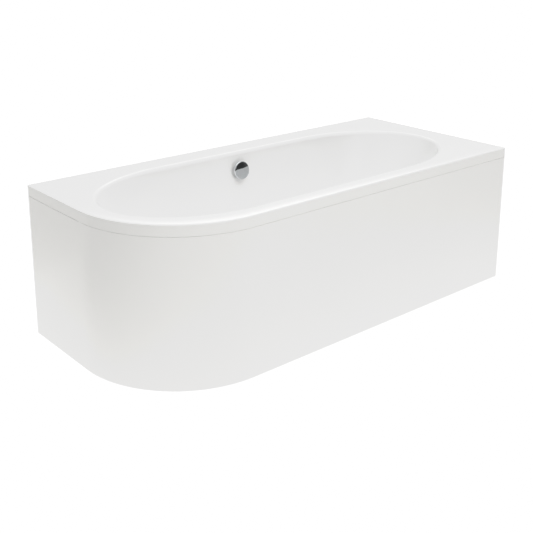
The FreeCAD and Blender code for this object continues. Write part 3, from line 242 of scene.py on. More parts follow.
def chipboard_material():
    """Raw pressed chipboard: flakes of several browns with fine dust between them."""
    material, tree, shader, place = start_material("chipboard_raw")
    flakes, distance = cells(tree, stretched(tree, place, (150, 150, 420)), 1)
    fine, _ = cells(tree, place, 700)
    tint = ramp(tree, flakes, (0.0, (0.26, 0.165, 0.085)), (0.35, (0.40, 0.27, 0.145)),
                (0.7, (0.50, 0.36, 0.21)), (1.0, (0.34, 0.23, 0.12)))
    dust = ramp(tree, fine, (0.0, (0.7, 0.68, 0.64)), (0.6, (1, 1, 1)))
    feed(tree, shader,
         base_color=mix(tree, tint, dust, blend="MULTIPLY"),
         roughness=ramp(tree, flakes, (0.0, 0.62), (1.0, 0.82)))
    bump(tree, shader, (distance, 0.3, 0.4), (fine, 0.3, 0.2))
    return material


def zinc_material():
    """Bright zinc plate with a faint spangle and a cold tint."""
    material, tree, shader, place = start_material("zinc_plate", metallic=1.0)
    spangle, _ = cells(tree, place, 95)
    stain = noise(tree, place, 16, 5, 0.6)
    tint = ramp(tree, spangle, (0.0, (0.50, 0.52, 0.55)), (1.0, (0.62, 0.635, 0.645)))
    warm = ramp(tree, stain, (0.4, (1, 1, 1)), (0.75, (0.93, 0.90, 0.80)))
    feed(tree, shader,
         base_color=mix(tree, tint, warm, blend="MULTIPLY"),
         roughness=ramp(tree, stain, (0.3, 0.27), (0.7, 0.46)))
    bump(tree, shader, (noise(tree, place, 420, 3), 0.12, 0.1))
    return material


def steel_material():
    """Plain stainless steel with drawn-out scuffs."""
    material, tree, shader, place = start_material("stainless_steel", metallic=1.0)
    scuff = noise(tree, stretched(tree, place, (900, 900, 120)), 1, 3)
    feed(tree, shader,
         base_color=ramp(tree, scuff, (0.3, (0.46, 0.46, 0.465)), (0.7, (0.60, 0.60, 0.605))),
         roughness=ramp(tree, scuff, (0.3, 0.24), (0.7, 0.4)))
    bump(tree, shader, (scuff, 0.1, 0.06))
    return material


def moulded_material(name, low, high, gloss, grain):
    """Moulded plastic or rubber: two close tints, a roughness span and a fine skin texture."""
    material, tree, shader, place = start_material(name)
    cloud = noise(tree, place, 36, 4)
    feed(tree, shader,
         base_color=ramp(tree, cloud, (0.3, low), (0.7, high)),
         roughness=ramp(tree, cloud, (0.3, gloss[0]), (0.7, gloss[1])))
    bump(tree, shader, (noise(tree, place, 1100, 2), grain, 0.08), (noise(tree, place, 60, 2), 0.1, 0.2))
    return material


ACRYLIC = acrylic_material()
GLASS_FIBRE = glass_fibre_material()
CHROME = chrome_material("chrome_polished", (0.45, 0.468, 0.483), (0.50, 0.518, 0.532))
# A lighter copy of the same chrome: painted light, put where the knob's side and the faceplate lie in shade.
CHROME_PAINTED_LIGHTER = chrome_material("chrome_painted_lighter", (0.67, 0.685, 0.695), (0.73, 0.742, 0.752))
TIMBER_X = timber_material("softwood_along_x", 0)
TIMBER_Y = timber_material("softwood_along_y", 1)
CHIPBOARD = chipboard_material()
ZINC = zinc_material()
STEEL = steel_material()
WHITE_PLASTIC = moulded_material("white_polypropylene", (0.70, 0.70, 0.68), (0.76, 0.76, 0.74),
                                 (0.34, 0.48), 0.15)
DARK_PLASTIC = moulded_material("black_nylon", (0.016, 0.016, 0.018), (0.03, 0.03, 0.032),
                                (0.38, 0.55), 0.3)
RUBBER = moulded_material("black_rubber", (0.012, 0.012, 0.012), (0.026, 0.026, 0.025), (0.6, 0.8), 0.4)
SHEATH = moulded_material("grey_cable_sheath", (0.10, 0.105, 0.115), (0.15, 0.155, 0.165),
                          (0.35, 0.5), 0.25)


# Mesh building

def piece(name, shape, materials, body, node, angle):
    """Turns a finished bmesh in metres into a piece that rides on a body and stands for a CAD node.
    Edges that turn by more than the angle, in degrees, are shaded sharp."""
    shape.normal_update()
    bmesh.ops.recalc_face_normals(shape, faces=shape.faces)
    mesh = bpy.data.meshes.new(name)
    shape.to_mesh(mesh)
    shape.free()
    for material in materials:
        mesh.materials.append(material)
    mesh.shade_smooth()
    mesh.set_sharp_from_angle(angle=math.radians(angle))
    item = bpy.data.objects.new(name, mesh)
    scene.collection.objects.link(item)
    weigh_normals(item)
    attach(item, body)
    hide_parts(node)


def weigh_normals(item):
    modifier = item.modifiers.new("even_shading", "WEIGHTED_NORMAL")
    modifier.keep_sharp = True


def ring(shape, points):
    return [shape.verts.new(Vector(p) * MM) for p in points]


def skin(shape, loops, material=0, closed_round=True):
    """Joins loops of equal length with quads, each loop to the next."""
    for low, high in zip(loops, loops[1:]):
        count = len(low)
        for k in range(count if closed_round else count - 1):
            after = (k + 1) % count
            shape.faces.new((low[k], low[after], high[after], high[k])).material_index = material


def loop_edges(shape, loop):
    edges = []
    for a, b in zip(loop, loop[1:] + loop[:1]):
        edge = shape.edges.get((a, b))
        edges.append(edge if edge else shape.edges.new((a, b)))
    return edges


def fill_between(shape, outer, inner, material):
    """Closes the flat region between an outer loop and a loop inside it."""
    edges = loop_edges(shape, outer) + loop_edges(shape, inner)
    made = bmesh.ops.triangle_fill(shape, use_beauty=True, edges=edges)
    for item in made["geom"]:
        if isinstance(item, bmesh.types.BMFace):
            item.material_index = material


def arc(start, end, count):
    """Angles from start to end in degrees, as radians."""
    return [math.radians(start + (end - start) * k / count) for k in range(count + 1)]


def axis_frame(at, axis):
    """A matrix whose Z runs along an axis and whose origin is at a point, in millimetres."""
    along = Vector(axis).normalized()
    side = Vector((1, 0, 0)) if abs(along.x) < 0.9 else Vector((0, 1, 0))
    side = (side - along * side.dot(along)).normalized()
    return Matrix.Translation(Vector(at)) @ Matrix((side, along.cross(side), along)).transposed().to_4x4()


def lathe(shape, profile, at, axis=(0, 0, 1), segments=64, ribs=None):
    """Turns a closed profile of (radius, height) points round an axis.
    With ribs, a set of profile places, a depth and a pattern, those points sink where the pattern is 1."""
    matrix = axis_frame(at, axis)
    loops = []
    for place, (radius, height) in enumerate(profile):
        if radius < 1e-6:
            loops.append([shape.verts.new(matrix @ Vector((0, 0, height)) * MM)] * segments)
            continue
        loop = []
        for k in range(segments):
            reach = radius
            if ribs and place in ribs[0]:
                reach -= ribs[1] * ribs[2][k % len(ribs[2])]
            turn = 2 * math.pi * k / segments
            point = Vector((reach * math.cos(turn), reach * math.sin(turn), height))
            loop.append(shape.verts.new(matrix @ point * MM))
        loops.append(loop)
    for low, high in zip(loops, loops[1:] + loops[:1]):
        if low[0] is low[1] and high[0] is high[1]:
            continue
        for k in range(segments):
            after = (k + 1) % segments
            corners = []
            for vert in (low[k], low[after], high[after], high[k]):
                if vert not in corners:
                    corners.append(vert)
            shape.faces.new(corners)


def rounded(points, radius, steps=4):
    """A polygon of (radius, height) points with its corners rounded.
    A point may carry its own radius, and a point on the axis stays sharp."""
    result = []
    count = len(points)
    for k, point in enumerate(points):
        here = Vector(point[:2])
        before = Vector(points[k - 1][:2]) - here
        after = Vector(points[(k + 1) % count][:2]) - here
        size = point[2] if len(point) > 2 else radius
        if size == 0 or here.x < 1e-6:
            result.append(tuple(here))
            continue
        opening = before.angle(after)
        reach = min(size / math.tan(opening / 2), before.length * 0.48, after.length * 0.48)
        first = here + before.normalized() * reach
        last = here + after.normalized() * reach
        for step in range(steps + 1):
            t = step / steps
            result.append(tuple(first * (1 - t) ** 2 + here * 2 * t * (1 - t) + last * t ** 2))
    return result


def combine(base, other, operation):
    """Joins or cuts two closed bmeshes with an exact boolean, and returns the result as a new bmesh."""
    objects = []
    for name, shape in (("base", base), ("other", other)):
        bmesh.ops.recalc_face_normals(shape, faces=shape.faces)
        mesh = bpy.data.meshes.new(name)
        shape.to_mesh(mesh)
        shape.free()
        item = bpy.data.objects.new(name, mesh)
        scene.collection.objects.link(item)
        objects.append(item)
    modifier = objects[0].modifiers.new("join", "BOOLEAN")
    modifier.operation = operation
    modifier.object = objects[1]
    modifier.solver = "EXACT"
    bpy.context.view_layer.update()
    evaluated = objects[0].evaluated_get(bpy.context.evaluated_depsgraph_get())
    result = bmesh.new()
    result.from_mesh(evaluated.to_mesh())
    evaluated.to_mesh_clear()
    for item in objects:
        mesh = item.data
        bpy.data.objects.remove(item)
        bpy.data.meshes.remove(mesh)
    return result


# Bath shell

def plan(inset):
    """The bath's plan, drawn in by an inset: points anticlockwise from the left end of the straight front."""
    left, right = inset - HALF_LENGTH, HALF_LENGTH - inset
    front, back = inset - HALF_WIDTH, HALF_WIDTH - inset
    small = max(SOFT_CORNER - inset, LEAST_ROUND)
    round_x, round_y = CORNER - HALF_LENGTH, CORNER - HALF_WIDTH
    points = []

    def straight(start, end, count):
        for k in range(count):
            points.append(tuple(Vector(start).lerp(Vector(end), k / count)))

    def turn(x, y, size, start, end, count):
        for angle in arc(start, end, count)[:-1]:
            points.append((x + size * math.cos(angle), y + size * math.sin(angle)))

    straight((round_x, front), (right - small, front), 24)
    turn(right - small, front + small, small, -90, 0, 6)
    straight((right, front + small), (right, back - small), 12)
    turn(right - small, back - small, small, 0, 90, 6)
    straight((right - small, back), (left + small, back), 28)
    turn(left + small, back - small, small, 90, 180, 6)
    straight((left, back - small), (left, round_y), 8)
    turn(round_x, round_y, CORNER - inset, 180, 270, 64)
    return points


def plan_ring(shape, inset, z):
    return ring(shape, [(x, y, z) for x, y in plan(inset)])


def bowl_oval(share, grow):
    """The bowl's oval plan at a share of its depth, with outward normals."""
    along, across, reach = (low + share * (high - low) + grow for low, high in zip(FLOOR, OPENING))
    run_steps, end_steps = 40, 88
    points = []
    for side in (1, -1):
        for k in range(run_steps):
            x = side * (along - reach) * (2 * k / run_steps - 1)
            points.append((Vector((BOWL_X + x, BOWL_Y - side * across)), Vector((0, -side))))
        for k in range(end_steps):
            angle = math.pi * k / end_steps - math.pi / 2
            x = side * (along - reach + reach * math.cos(angle))
            spot = Vector((BOWL_X + x, BOWL_Y + side * across * math.sin(angle)))
            normal = Vector((side * across * math.cos(angle), side * reach * math.sin(angle)))
            points.append((spot, normal.normalized()))
    return points


def bowl_loops(top, top_radius, bottom, bottom_radius, grow, steps):
    """Loops down a bowl face: rounded into the rim at the top level and into the floor at the bottom level.
    The steps are those of the upper rounding, the wall and the lower rounding."""
    up_steps, wall_steps, down_steps = steps
    depth = HEIGHT - FLOOR_Z
    high = bowl_oval((top - FLOOR_Z) / depth, grow)
    low = bowl_oval((bottom - FLOOR_Z) / depth, grow)
    leans = [(h[0] - l[0]).dot(h[1]) / (top - bottom) for h, l in zip(high, low)]
    turns = [math.pi / 2 - math.atan(lean) for lean in leans]
    loops = []
    for step in range(up_steps + 1):
        loop = []
        for (spot, normal), turn in zip(high, turns):
            angle = turn * step / up_steps
            out = top_radius * (math.tan(turn / 2) - math.sin(angle))
            loop.append((*(spot + normal * out), top - top_radius * (1 - math.cos(angle))))
        loops.append(loop)
    floor_loops = []
    for step in range(down_steps + 1):
        loop = []
        for (spot, normal), turn in zip(low, turns):
            angle = turn * (1 - step / down_steps)
            out = bottom_radius * (math.sin(angle) - math.tan(turn / 2))
            loop.append((*(spot + normal * out), bottom + bottom_radius * (1 - math.cos(angle))))
        floor_loops.append(loop)
    first, last = loops[-1], floor_loops[0]
    for step in range(1, wall_steps):
        loops.append([tuple(Vector(a).lerp(Vector(b), step / wall_steps)) for a, b in zip(first, last)])
    return loops + floor_loops


def widened(loop, amount):
    """A loop of the bowl moved outwards by about an amount, as a part of the bowl's own rough size."""
    rough_length, rough_width = 700, 300
    return [(BOWL_X + (x - BOWL_X) * (1 + amount / rough_length),
             BOWL_Y + (y - BOWL_Y) * (1 + amount / rough_width), z) for x, y, z in loop]


def bath_shell():
    """Rim, skirt and bowl as one closed moulding: acrylic on its outside, glass fibre on its back."""
    shape = bmesh.new()
    rim_under = HEIGHT - WALL
    skirt_low = HEIGHT - SKIRT
    support, soft = 3, 0.8
    outside = [(WALL, skirt_low + support), (WALL, skirt_low + soft), (WALL - soft, skirt_low),
               (soft, skirt_low), (0, skirt_low + soft), (0, skirt_low + support)]
    outside += [(0, skirt_low + support + (SKIRT - EDGE - support) * k / 3) for k in (1, 2)]
    outside += [(EDGE_REACH * (1 - math.cos(a)), HEIGHT - EDGE * (1 - math.sin(a))) for a in arc(0, 90, 12)]
    outside += [(EDGE_REACH + support, HEIGHT)]
    outer = [plan_ring(shape, inset, z) for inset, z in outside]
    skin(shape, outer)

    inside = bowl_loops(HEIGHT, LIP, FLOOR_Z, FLOOR_ROUND, 0, (9, 12, 16))
    bowl = [ring(shape, loop) for loop in [widened(inside[0], support)] + inside]
    skin(shape, bowl)
    fill_between(shape, outer[-1], bowl[0], 0)
    waste = [(BOWL_X + WASTE_HOLE * math.cos(a), BOWL_Y + WASTE_HOLE * math.sin(a))
             for a in arc(0, 360, 96)[:-1]]
    hole_top = ring(shape, [(x, y, FLOOR_Z) for x, y in waste])
    hole_low = ring(shape, [(x, y, FLOOR_Z - WALL) for x, y in waste])
    fill_between(shape, bowl[-1], hole_top, 0)
    skin(shape, [hole_top, hole_low])

    lining = [(WALL, rim_under - support)]
    lining += [(WALL + support * (1 - math.cos(a)), rim_under - support * (1 - math.sin(a)))
               for a in arc(0, 90, 4)]
    back = [outer[0]] + [plan_ring(shape, inset, z) for inset, z in lining]
    skin(shape, back, 1)
    under = bowl_loops(rim_under, LIP - WALL, FLOOR_Z - WALL, FLOOR_ROUND + WALL, WALL, (5, 12, 12))
    below = [ring(shape, loop) for loop in under]
    skin(shape, below, 1)
    fill_between(shape, back[-1], below[0], 1)
    fill_between(shape, below[-1], hole_low, 1)

    drill = bmesh.new()
    lathe(drill, [(0, -12), (OVERFLOW_HOLE, -12), (OVERFLOW_HOLE, 6), (0, 6)], KNOB_AT, KNOB_AXIS, 96)
    shape = combine(shape, drill, "DIFFERENCE")
    piece("bath_moulding", shape, [ACRYLIC, GLASS_FIBRE], "bath", "bath_shell", 32)


# Front panel

def panel_path(inset, end_gap, returns):
    """The panel's line in plan at an inset: along the left end, round the corner and along the front.
    A strip without returns has its own steps round the corner, so that no edge of it meets one of the skin."""
    left, front = inset - HALF_LENGTH, inset - HALF_WIDTH
    back, right = HALF_WIDTH - end_gap, HALF_LENGTH - end_gap
    round_x, round_y = CORNER - HALF_LENGTH, CORNER - HALF_WIDTH
    support, front_steps = 8, 20
    points = []
    if returns:
        small = max(SOFT_CORNER - inset, LEAST_ROUND)
        back -= inset
        right -= inset
        points += [(returns - HALF_LENGTH, back), (left + small + support, back)]
        points += [(left + small + small * math.cos(a), back - small + small * math.sin(a))
                   for a in arc(90, 180, 6)]
        points += [(left, back - small - support)]
        corner = arc(180, 270, 64)
        front_end = right - small - support
    else:
        points += [(left, back)]
        corner = arc(180.35, 269.65, 61)
        front_end = right
    points += [(left, round_y + (points[-1][1] - round_y) * k / 6) for k in range(5, 0, -1)]
    points += [(round_x + (CORNER - inset) * math.cos(a), round_y + (CORNER - inset) * math.sin(a))
               for a in corner]
    points += [(round_x + (front_end - round_x) * k / front_steps, front) for k in range(1, front_steps + 1)]
    if returns:
        points += [(right - small + small * math.cos(a), front + small + small * math.sin(a))
                   for a in arc(-90, 0, 6)]
        points += [(right, front + small + support), (right, returns - HALF_WIDTH)]
    return points


def panel_strip(section, end_gap=0, returns=0):
    """Sweeps a closed (inset, height) section along the panel's line and closes both ends."""
    shape = bmesh.new()
    loops = [ring(shape, [(x, y, z) for x, y in panel_path(inset, end_gap, returns)]) for inset, z in section]
    skin(shape, loops + loops[:1], closed_round=False)
    for end in (0, -1):
        shape.faces.new([loop[end] for loop in loops])
    return shape


def front_panel():
    """The panel's skin, with a ledge and tongue under the rim and a foot flange along the floor.
    Ledge and foot start inside the skin. Its outer face is just off zero, so that rounded() rounds it."""
    outer, root = 0.001, PANEL_WALL / 2
    edge = PANEL_TOP + PANEL_RAISE
    skin_section = [(outer, 0, 1.2), (outer, edge, 0.7), (PANEL_WALL, edge, 0.7), (PANEL_WALL, 0, 0.8)]
    shape = panel_strip(rounded(skin_section, 1, 4), returns=PANEL_RETURN)
    tongue_top = HEIGHT - WALL - 14
    ledge_top, ledge_low = PANEL_TOP - 0.4, PANEL_TOP - 5
    tongue_out, tongue_in = 8, 12
    ledge = [(root, ledge_top, 0), (tongue_out, ledge_top, 0.6), (tongue_out, tongue_top, 1),
             (tongue_in, tongue_top, 1), (tongue_in, ledge_low, 0.8), (root, ledge_low, 0)]
    shape = combine(shape, panel_strip(rounded(ledge, 1, 3), end_gap=9), "UNION")
    foot_low, foot_top, foot_in = 0.3, 5, PANEL_RETURN - 0.4
    foot = [(root, foot_low, 0), (root, foot_top, 0), (foot_in, foot_top, 1.2), (foot_in, foot_low, 1.2)]
    shape = combine(shape, panel_strip(rounded(foot, 1, 3), end_gap=root), "UNION")
    bmesh.ops.recalc_face_normals(shape, faces=shape.faces)
    for face in shape.faces:
        inward = -face.calc_center_median().xy.normalized()
        face.material_index = int(face.normal.xy.dot(inward) > 0.25)
    piece("wrap_round_panel", shape, [ACRYLIC, GLASS_FIBRE], "bath", "front_panel", 32)


# Overflow knob, waste and plug

def overflow_knob():
    """A hollow cap on a hub, with a shallow dome; its side has a lighter copy of the chrome, which is painted
    light that lifts the shade on the side and beside the knob.
    """
    shape = bmesh.new()
    front, back, radius, wall = 25, 9, 35, 3.5
    inner = radius - wall
    profile = [(32.2 * k / 10, front - 2.6 * (k / 10) ** 2) for k in range(11)]
    profile += [(33.6, front - 3.2), (34.6, front - 4.2), (radius, front - 5.6), (radius, back + 0.8),
                (34.4, back), (inner + 0.6, back), (inner, back + 0.8), (inner, front - 6.5),
                (30, front - wall - 2.4), (10, front - wall - 1), (8, front - wall - 2), (8, 8.8), (7.5, 8.3),
                (4, 8.3), (4, 17.3), (0, 17.3)]
    lathe(shape, profile, KNOB_AT, KNOB_AXIS, 128)
    shape.normal_update()
    # Faces along the side take the lighter chrome copy: painted light against the shade there.
    for face in shape.faces:
        face.material_index = int(abs(face.normal.dot(KNOB_AXIS)) < 0.5)
    piece("overflow_knob_cap", shape, [CHROME, CHROME_PAINTED_LIGHTER], "knob", "overflow_knob", 30)


def turned_piece(name, profile, segments, material, body, node, angle):
    """A piece turned round the waste's upright axis."""
    shape = bmesh.new()
    lathe(shape, profile, DRAIN, segments=segments)
    piece(name, shape, [material], body, node, angle)


def waste_flange():
    """The waste's flange, with a crossed pair of arms inside it that carry the guide for the plug."""
    shape = bmesh.new()
    flange = [(20.5, 127, 0.6), (23, 127, 0.6), (23, 151, 0), (35, 151, 0.4), (35, 152, 1), (33, 154, 2),
              (23.5, 154, 1.2), (20.5, 151, 1)]
    lathe(shape, rounded(flange, 0.5, 4), DRAIN, segments=96)
    arms = bmesh.new()
    middle = Matrix.Translation(Vector((BOWL_X, BOWL_Y, 134.5)) * MM)
    for size in ((43.4, 3, 5), (3, 43.4, 4.96)):
        bar = bmesh.ops.create_cube(arms, size=1)["verts"]
        bmesh.ops.transform(arms, verts=bar, matrix=middle @ Matrix.Diagonal((*(Vector(size) * MM), 1)))
    bmesh.ops.bevel(arms, geom=arms.edges[:], offset=0.5 * MM, segments=2, affect="EDGES")
    guide = [(4.3, 131.9), (7, 131.9), (7, 137.1), (4.3, 137.1)]
    lathe(arms, rounded(guide, 0.5, 2), DRAIN, segments=48)
    joined = bpy.data.meshes.new("arms")
    arms.to_mesh(joined)
    arms.free()
    shape.from_mesh(joined)
    bpy.data.meshes.remove(joined)
    piece("waste_flange_ring", shape, [CHROME], "bath", "waste_flange", 30)


def plug_and_pin():
    dome = [(30 * k / 12, 162.3 - 4.5 * (k / 12) ** 2) for k in range(12)]
    dome += [(29.6, 158.2), (30, 157.6), (30, 156.9), (29.4, 156.3), (22, 156.3), (20, 157.2), (0, 157.2)]
    turned_piece("plug_dome", dome, 96, CHROME, "plug", "plug_cap", 30)

    seal = rounded([(22, 154.35), (28, 154.35), (28, 156.3), (22, 156.3)], 0.8, 4)
    turned_piece("plug_sealing_ring", seal, 96, RUBBER, "plug", "plug_seal", 50)

    stem = [(0, 139.3), (3.2, 139.3), (4, 140.1)]
    for groove in (144, 149):
        stem += [(4, groove), (3.4, groove + 0.5), (3.4, groove + 1.5), (4, groove + 2)]
    stem += [(4, 156.2), (0, 156.2)]
    turned_piece("plug_guide_stem", stem, 32, WHITE_PLASTIC, "plug", "plug_stem", 30)

    pin = [(0, 107.3), (1.5, 107.3, 0.5), (1.5, 109.3, 0.2), (4, 109.3, 0.8), (4, 139, 0.8), (0, 139)]
    turned_piece("lift_pin_rod", rounded(pin, 0.5, 3), 32, WHITE_PLASTIC, "lifter",
                 "lift_pin", 30)


# Underframe hardware

def threaded_rod(shape, x, y, low, high):
    """A stud whose ridge winds up it, with chamfered ends."""
    radius, pitch, depth, segments = 5, 1.5, 0.8, 24
    chamfer, rows_per_turn = 1.4, 4
    rows = int((high - low) / pitch * rows_per_turn)
    loops = []
    for row in range(rows + 1):
        z = low + (high - low) * row / rows
        end = min(z - low, high - z)
        loop = []
        for k in range(segments):
            wind = (z / pitch + k / segments) % 1
            reach = radius - depth * abs(2 * wind - 1)
            reach = min(reach, radius - chamfer + end)
            turn = -2 * math.pi * k / segments
            loop.append((x + reach * math.cos(turn), y + reach * math.sin(turn), z))
        loops.append(ring(shape, loop))
    skin(shape, loops)
    for loop in (loops[0], loops[-1]):
        shape.faces.new(loop)


def hex_nut(shape, x, y, low):
    """A hexagon nut with the round chamfer that turning leaves on both faces."""
    height, corner, bore, bore_soft, count = 8, 9.8, 5.3, 0.6, 60
    flat = corner * math.cos(math.pi / 6)
    face = flat - 0.3
    loops = [[], [], [], [], [], []]
    for k in range(count):
        turn = 2 * math.pi * k / count
        edge = flat / math.cos((turn % (math.pi / 3)) - math.pi / 6)
        drop = (edge - face) * math.tan(math.radians(30))
        way = Vector((math.cos(turn), math.sin(turn), 0))
        spots = [(bore + bore_soft, 0), (face, 0), (edge, drop), (edge, height - drop), (face, height),
                 (bore + bore_soft, height)]
        for loop, (reach, up) in zip(loops, spots):
            loop.append(Vector((x, y, low + up)) + way * reach)
    made = [ring(shape, loop) for loop in loops]
    inner = []
    for up in (height - bore_soft, bore_soft):
        inner.append(ring(shape, [(x + bore * math.cos(2 * math.pi * k / count),
                                   y + bore * math.sin(2 * math.pi * k / count), low + up)
                                  for k in range(count)]))
    skin(shape, made + inner + made[:1])


def feet():
    pad = rounded([(0, 0), (22.5, 0, 1), (24, 1.2, 0.8), (24, 4, 1.5), (14, 8, 1.5), (10, 8.4, 1),
                   (10, 20, 1.2), (5, 20, 0.5), (5, 4, 0), (0, 4)], 1, 3)
    boss = {place for place, (radius, height) in enumerate(pad) if 9.2 < radius < 10.1 and 9 < height < 19.5}
    ribs = (boss, 0.9, (0, 0, 0, 0.5, 1, 1, 1, 0.5))
    for name, (x, y) in FEET.items():
        body = "foot_" + name
        shape = bmesh.new()
        threaded_rod(shape, x, y, 4, 145)
        piece("levelling_stud_" + name, shape, [ZINC], body, "foot_stud_" + name, 60)
        shape = bmesh.new()
        lathe(shape, pad, (x, y, 0), segments=96, ribs=ribs)
        piece("foot_base_" + name, shape, [DARK_PLASTIC], body, "foot_pad_" + name, 45)
    for name, low in (("upper", 129), ("lower", 96)):
        shape = bmesh.new()
        for x, y in FEET.values():
            hex_nut(shape, x, y, low)
        piece("lock_nuts_" + name, shape, [ZINC], "bath", f"foot_{name}_nuts", 25)


def screw_mesh(head, rise, shank, length):
    """A pan-head screw with a cross recess; its head stands on Z = 0 and its point is below."""
    shape = bmesh.new()
    profile = [(head * 0.9 * k / 6, rise - rise * 0.3 * (k / 6) ** 2) for k in range(7)]
    profile += [(head, rise * 0.4), (head, 0.15), (head - 0.15, 0), (shank, 0), (shank, -length + shank),
                (0, -length)]
    lathe(shape, profile, (0, 0, 0), segments=36)
    cross = bmesh.new()
    loops = []
    wide = head * 0.13
    for far, level in ((head * 0.56, rise + 0.5), (head * 0.56 * 0.55, rise * 0.25)):
        arm = [Vector(point) for point in ((far, -wide, level), (far, wide, level), (wide, wide, level))]
        turns = [Matrix.Rotation(turn * math.pi / 2, 3, "Z") for turn in range(4)]
        loops.append(ring(cross, [turn @ point for turn in turns for point in arm]))
    skin(cross, loops)
    for loop in loops:
        cross.faces.new(loop)
    shape = combine(shape, cross, "DIFFERENCE")
    mesh = bpy.data.meshes.new("screw")
    shape.to_mesh(mesh)
    shape.free()
    return mesh


def screws(name, node, size, places, axis):
    """Copies of one screw, given as head radius, head height, shank radius and length, each turned a bit more."""
    mesh = screw_mesh(*size)
    shape = bmesh.new()
    for turn, at in enumerate(places):
        before = len(shape.verts)
        shape.from_mesh(mesh)
        shape.verts.ensure_lookup_table()
        spin = Matrix.Rotation(turn * 1.1, 4, "Z")
        matrix = axis_frame(at, axis)
        for vert in shape.verts[before:]:
            vert.co = (matrix @ spin @ (vert.co / MM)) * MM
    bpy.data.meshes.remove(mesh)
    piece(name, shape, [STEEL], "bath", node, 30)


def fixings():
    clip_at = [(x, -345.7, 527) for x in (-416, -22, 372, 766)] + [(-820.7, y, 527) for y in (59, 291)]
    screws("clip_pan_screws", "panel_clip_screws", (4, 2, 2, 16), clip_at, (0, 0, -1))
    stay_at = [(x, y, 116.5) for x in (-389.5, 370.5) for y in (-242, -220)]
    screws("stay_pan_screws", "panel_stay_screws", (4, 2.5, 2, 8), stay_at, (1, 0, 0))
    bearer_at = [(x, y, 104) for x in (-405, 355) for y in (-99, 51)]
    screws("bearer_pan_screws", "bearer_screws", (5, 3, 2.5, 36), bearer_at, (0, 0, -1))


# Pipe, trap and cable nuts

def ribbed_nut(name, node, profile, at, axis, grip, material=WHITE_PLASTIC):
    """A moulded nut. Its grip is a depth, a pattern and a count of ribs: the points of its outer wall sink
    between the ribs."""
    depth, pattern, ribs = grip
    shape = bmesh.new()
    widest = max(point[0] for point in profile)
    points = rounded(profile, 1.2, 3)
    outer = {place for place, (radius, _) in enumerate(points) if radius > widest - 0.6}
    lathe(shape, points, at, axis, ribs * len(pattern), (outer, depth, pattern))
    piece(name, shape, [material], "bath", node, 40)


def node_box(node):
    """A node's lowest corner, highest corner and middle, in millimetres."""
    low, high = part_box(node)
    return low / MM, high / MM, (low + high) / 2 / MM


def plumbing_nuts():
    up = (0, 0, 1)
    pipe_nut = [(14.3, 0, 0.6), (21.6, 0), (21.6, 20), (17.6, 20, 0.6), (17.6, 7, 0), (14.3, 7, 0)]
    pipe_grip = (1.1, (0, 0, 0, 0.6, 1, 0.6), 20)
    node = "overflow_pipe_nut_upper"
    low, _, middle = node_box(node)
    ribbed_nut("pipe_nut_top", node, pipe_nut, (middle.x, middle.y, low.z), up, pipe_grip)
    node = "overflow_pipe_nut_lower"
    _, high, middle = node_box(node)
    ribbed_nut("pipe_nut_bottom", node, pipe_nut, (middle.x, high.y, middle.z), (0, -1, 0), pipe_grip)

    union = [(18.3, 0, 0.6), (26, 0), (26, 18), (20.1, 18, 0.6), (20.1, 4, 0), (18.3, 4, 0)]
    swivel = [(20.1, 0, 0.6), (26, 0), (26, 18), (18.3, 18, 0.6), (18.3, 14, 0), (20.1, 14, 0)]
    trap_grip = (1.6, (0, 0, 0, 0, 0.5, 1, 1, 1, 1, 0.5), 12)
    for name, node, profile in (("trap_nut_inlet", "trap_union_nut", union),
                                ("trap_nut_outlet", "trap_swivel_nut", swivel)):
        low, _, middle = node_box(node)
        ribbed_nut(name, node, profile, (middle.x, BOWL_Y, low.z), up, trap_grip)

    cable_nut = [(2.8, 0, 0.4), (7, 0, 0.8), (7, 8, 0.8), (2.8, 8, 0.4)]
    for name in ("upper", "lower"):
        node = "cable_nut_" + name
        _, high, middle = node_box(node)
        ribbed_nut("cable_gland_nut_" + name, node, cable_nut, (high.x, middle.y, middle.z), (-1, 0, 0),
                   (0.5, (0, 0, 1), 24), DARK_PLASTIC)


# Materials for the solids that stay

def dress(names, material, bevel=0.0):
    """Gives CAD nodes a material and, with a bevel in millimetres, softened edges."""
    for name in names:
        item = nodes[name]
        if not item.material_slots:
            item.data.materials.append(material)
        for slot in item.material_slots:
            slot.material = material
        if not bevel:
            continue
        weld = item.modifiers.new("weld", "WELD")
        weld.merge_threshold = 1e-6
        flat = item.modifiers.new("flat_faces", "DECIMATE")
        flat.decimate_type = "DISSOLVE"
        flat.angle_limit = math.radians(0.5)
        edge = item.modifiers.new("soft_edges", "BEVEL")
        edge.width = bevel * MM
        edge.segments = 2
        edge.limit_method = "ANGLE"
        edge.angle_limit = math.radians(35)
        weigh_normals(item)


def named(*starts):
    return sorted(n for n in nodes if n.startswith(starts))


dress(["rim_batten_front", "rim_batten_back"], TIMBER_X, 1.5)
dress(["rim_batten_left", "rim_batten_right"], TIMBER_Y, 1.5)
dress(["baseboard"], CHIPBOARD, 0.8)
dress(named("leg_bearer", "panel_clips", "panel_stays", "wall_hook"), ZINC, 0.5)
dress(["overflow_screws", "knob_spindle", "lever_pin"], STEEL, 0.3)
dress(["overflow_body", "waste_body"], WHITE_PLASTIC, 0.6)
dress(["overflow_pipe", "trap_bend", "trap_outlet_pipe"], WHITE_PLASTIC)
dress(["lift_lever"], DARK_PLASTIC, 0.4)
dress(["overflow_gasket", "waste_gasket", "waste_flange_seal", "trap_inlet_washer", "trap_outlet_washer"],
      RUBBER, 0.3)
# The faceplate takes the lighter chrome copy too: painted light that lifts the shade in the gap behind the knob.
dress(["overflow_faceplate"], CHROME_PAINTED_LIGHTER, 0.4)
dress(["control_cable"], SHEATH)
bath_shell()
front_panel()
overflow_knob()
waste_flange()
plug_and_pin()
feet()
fixings()
plumbing_nuts()


# Floor, light and camera

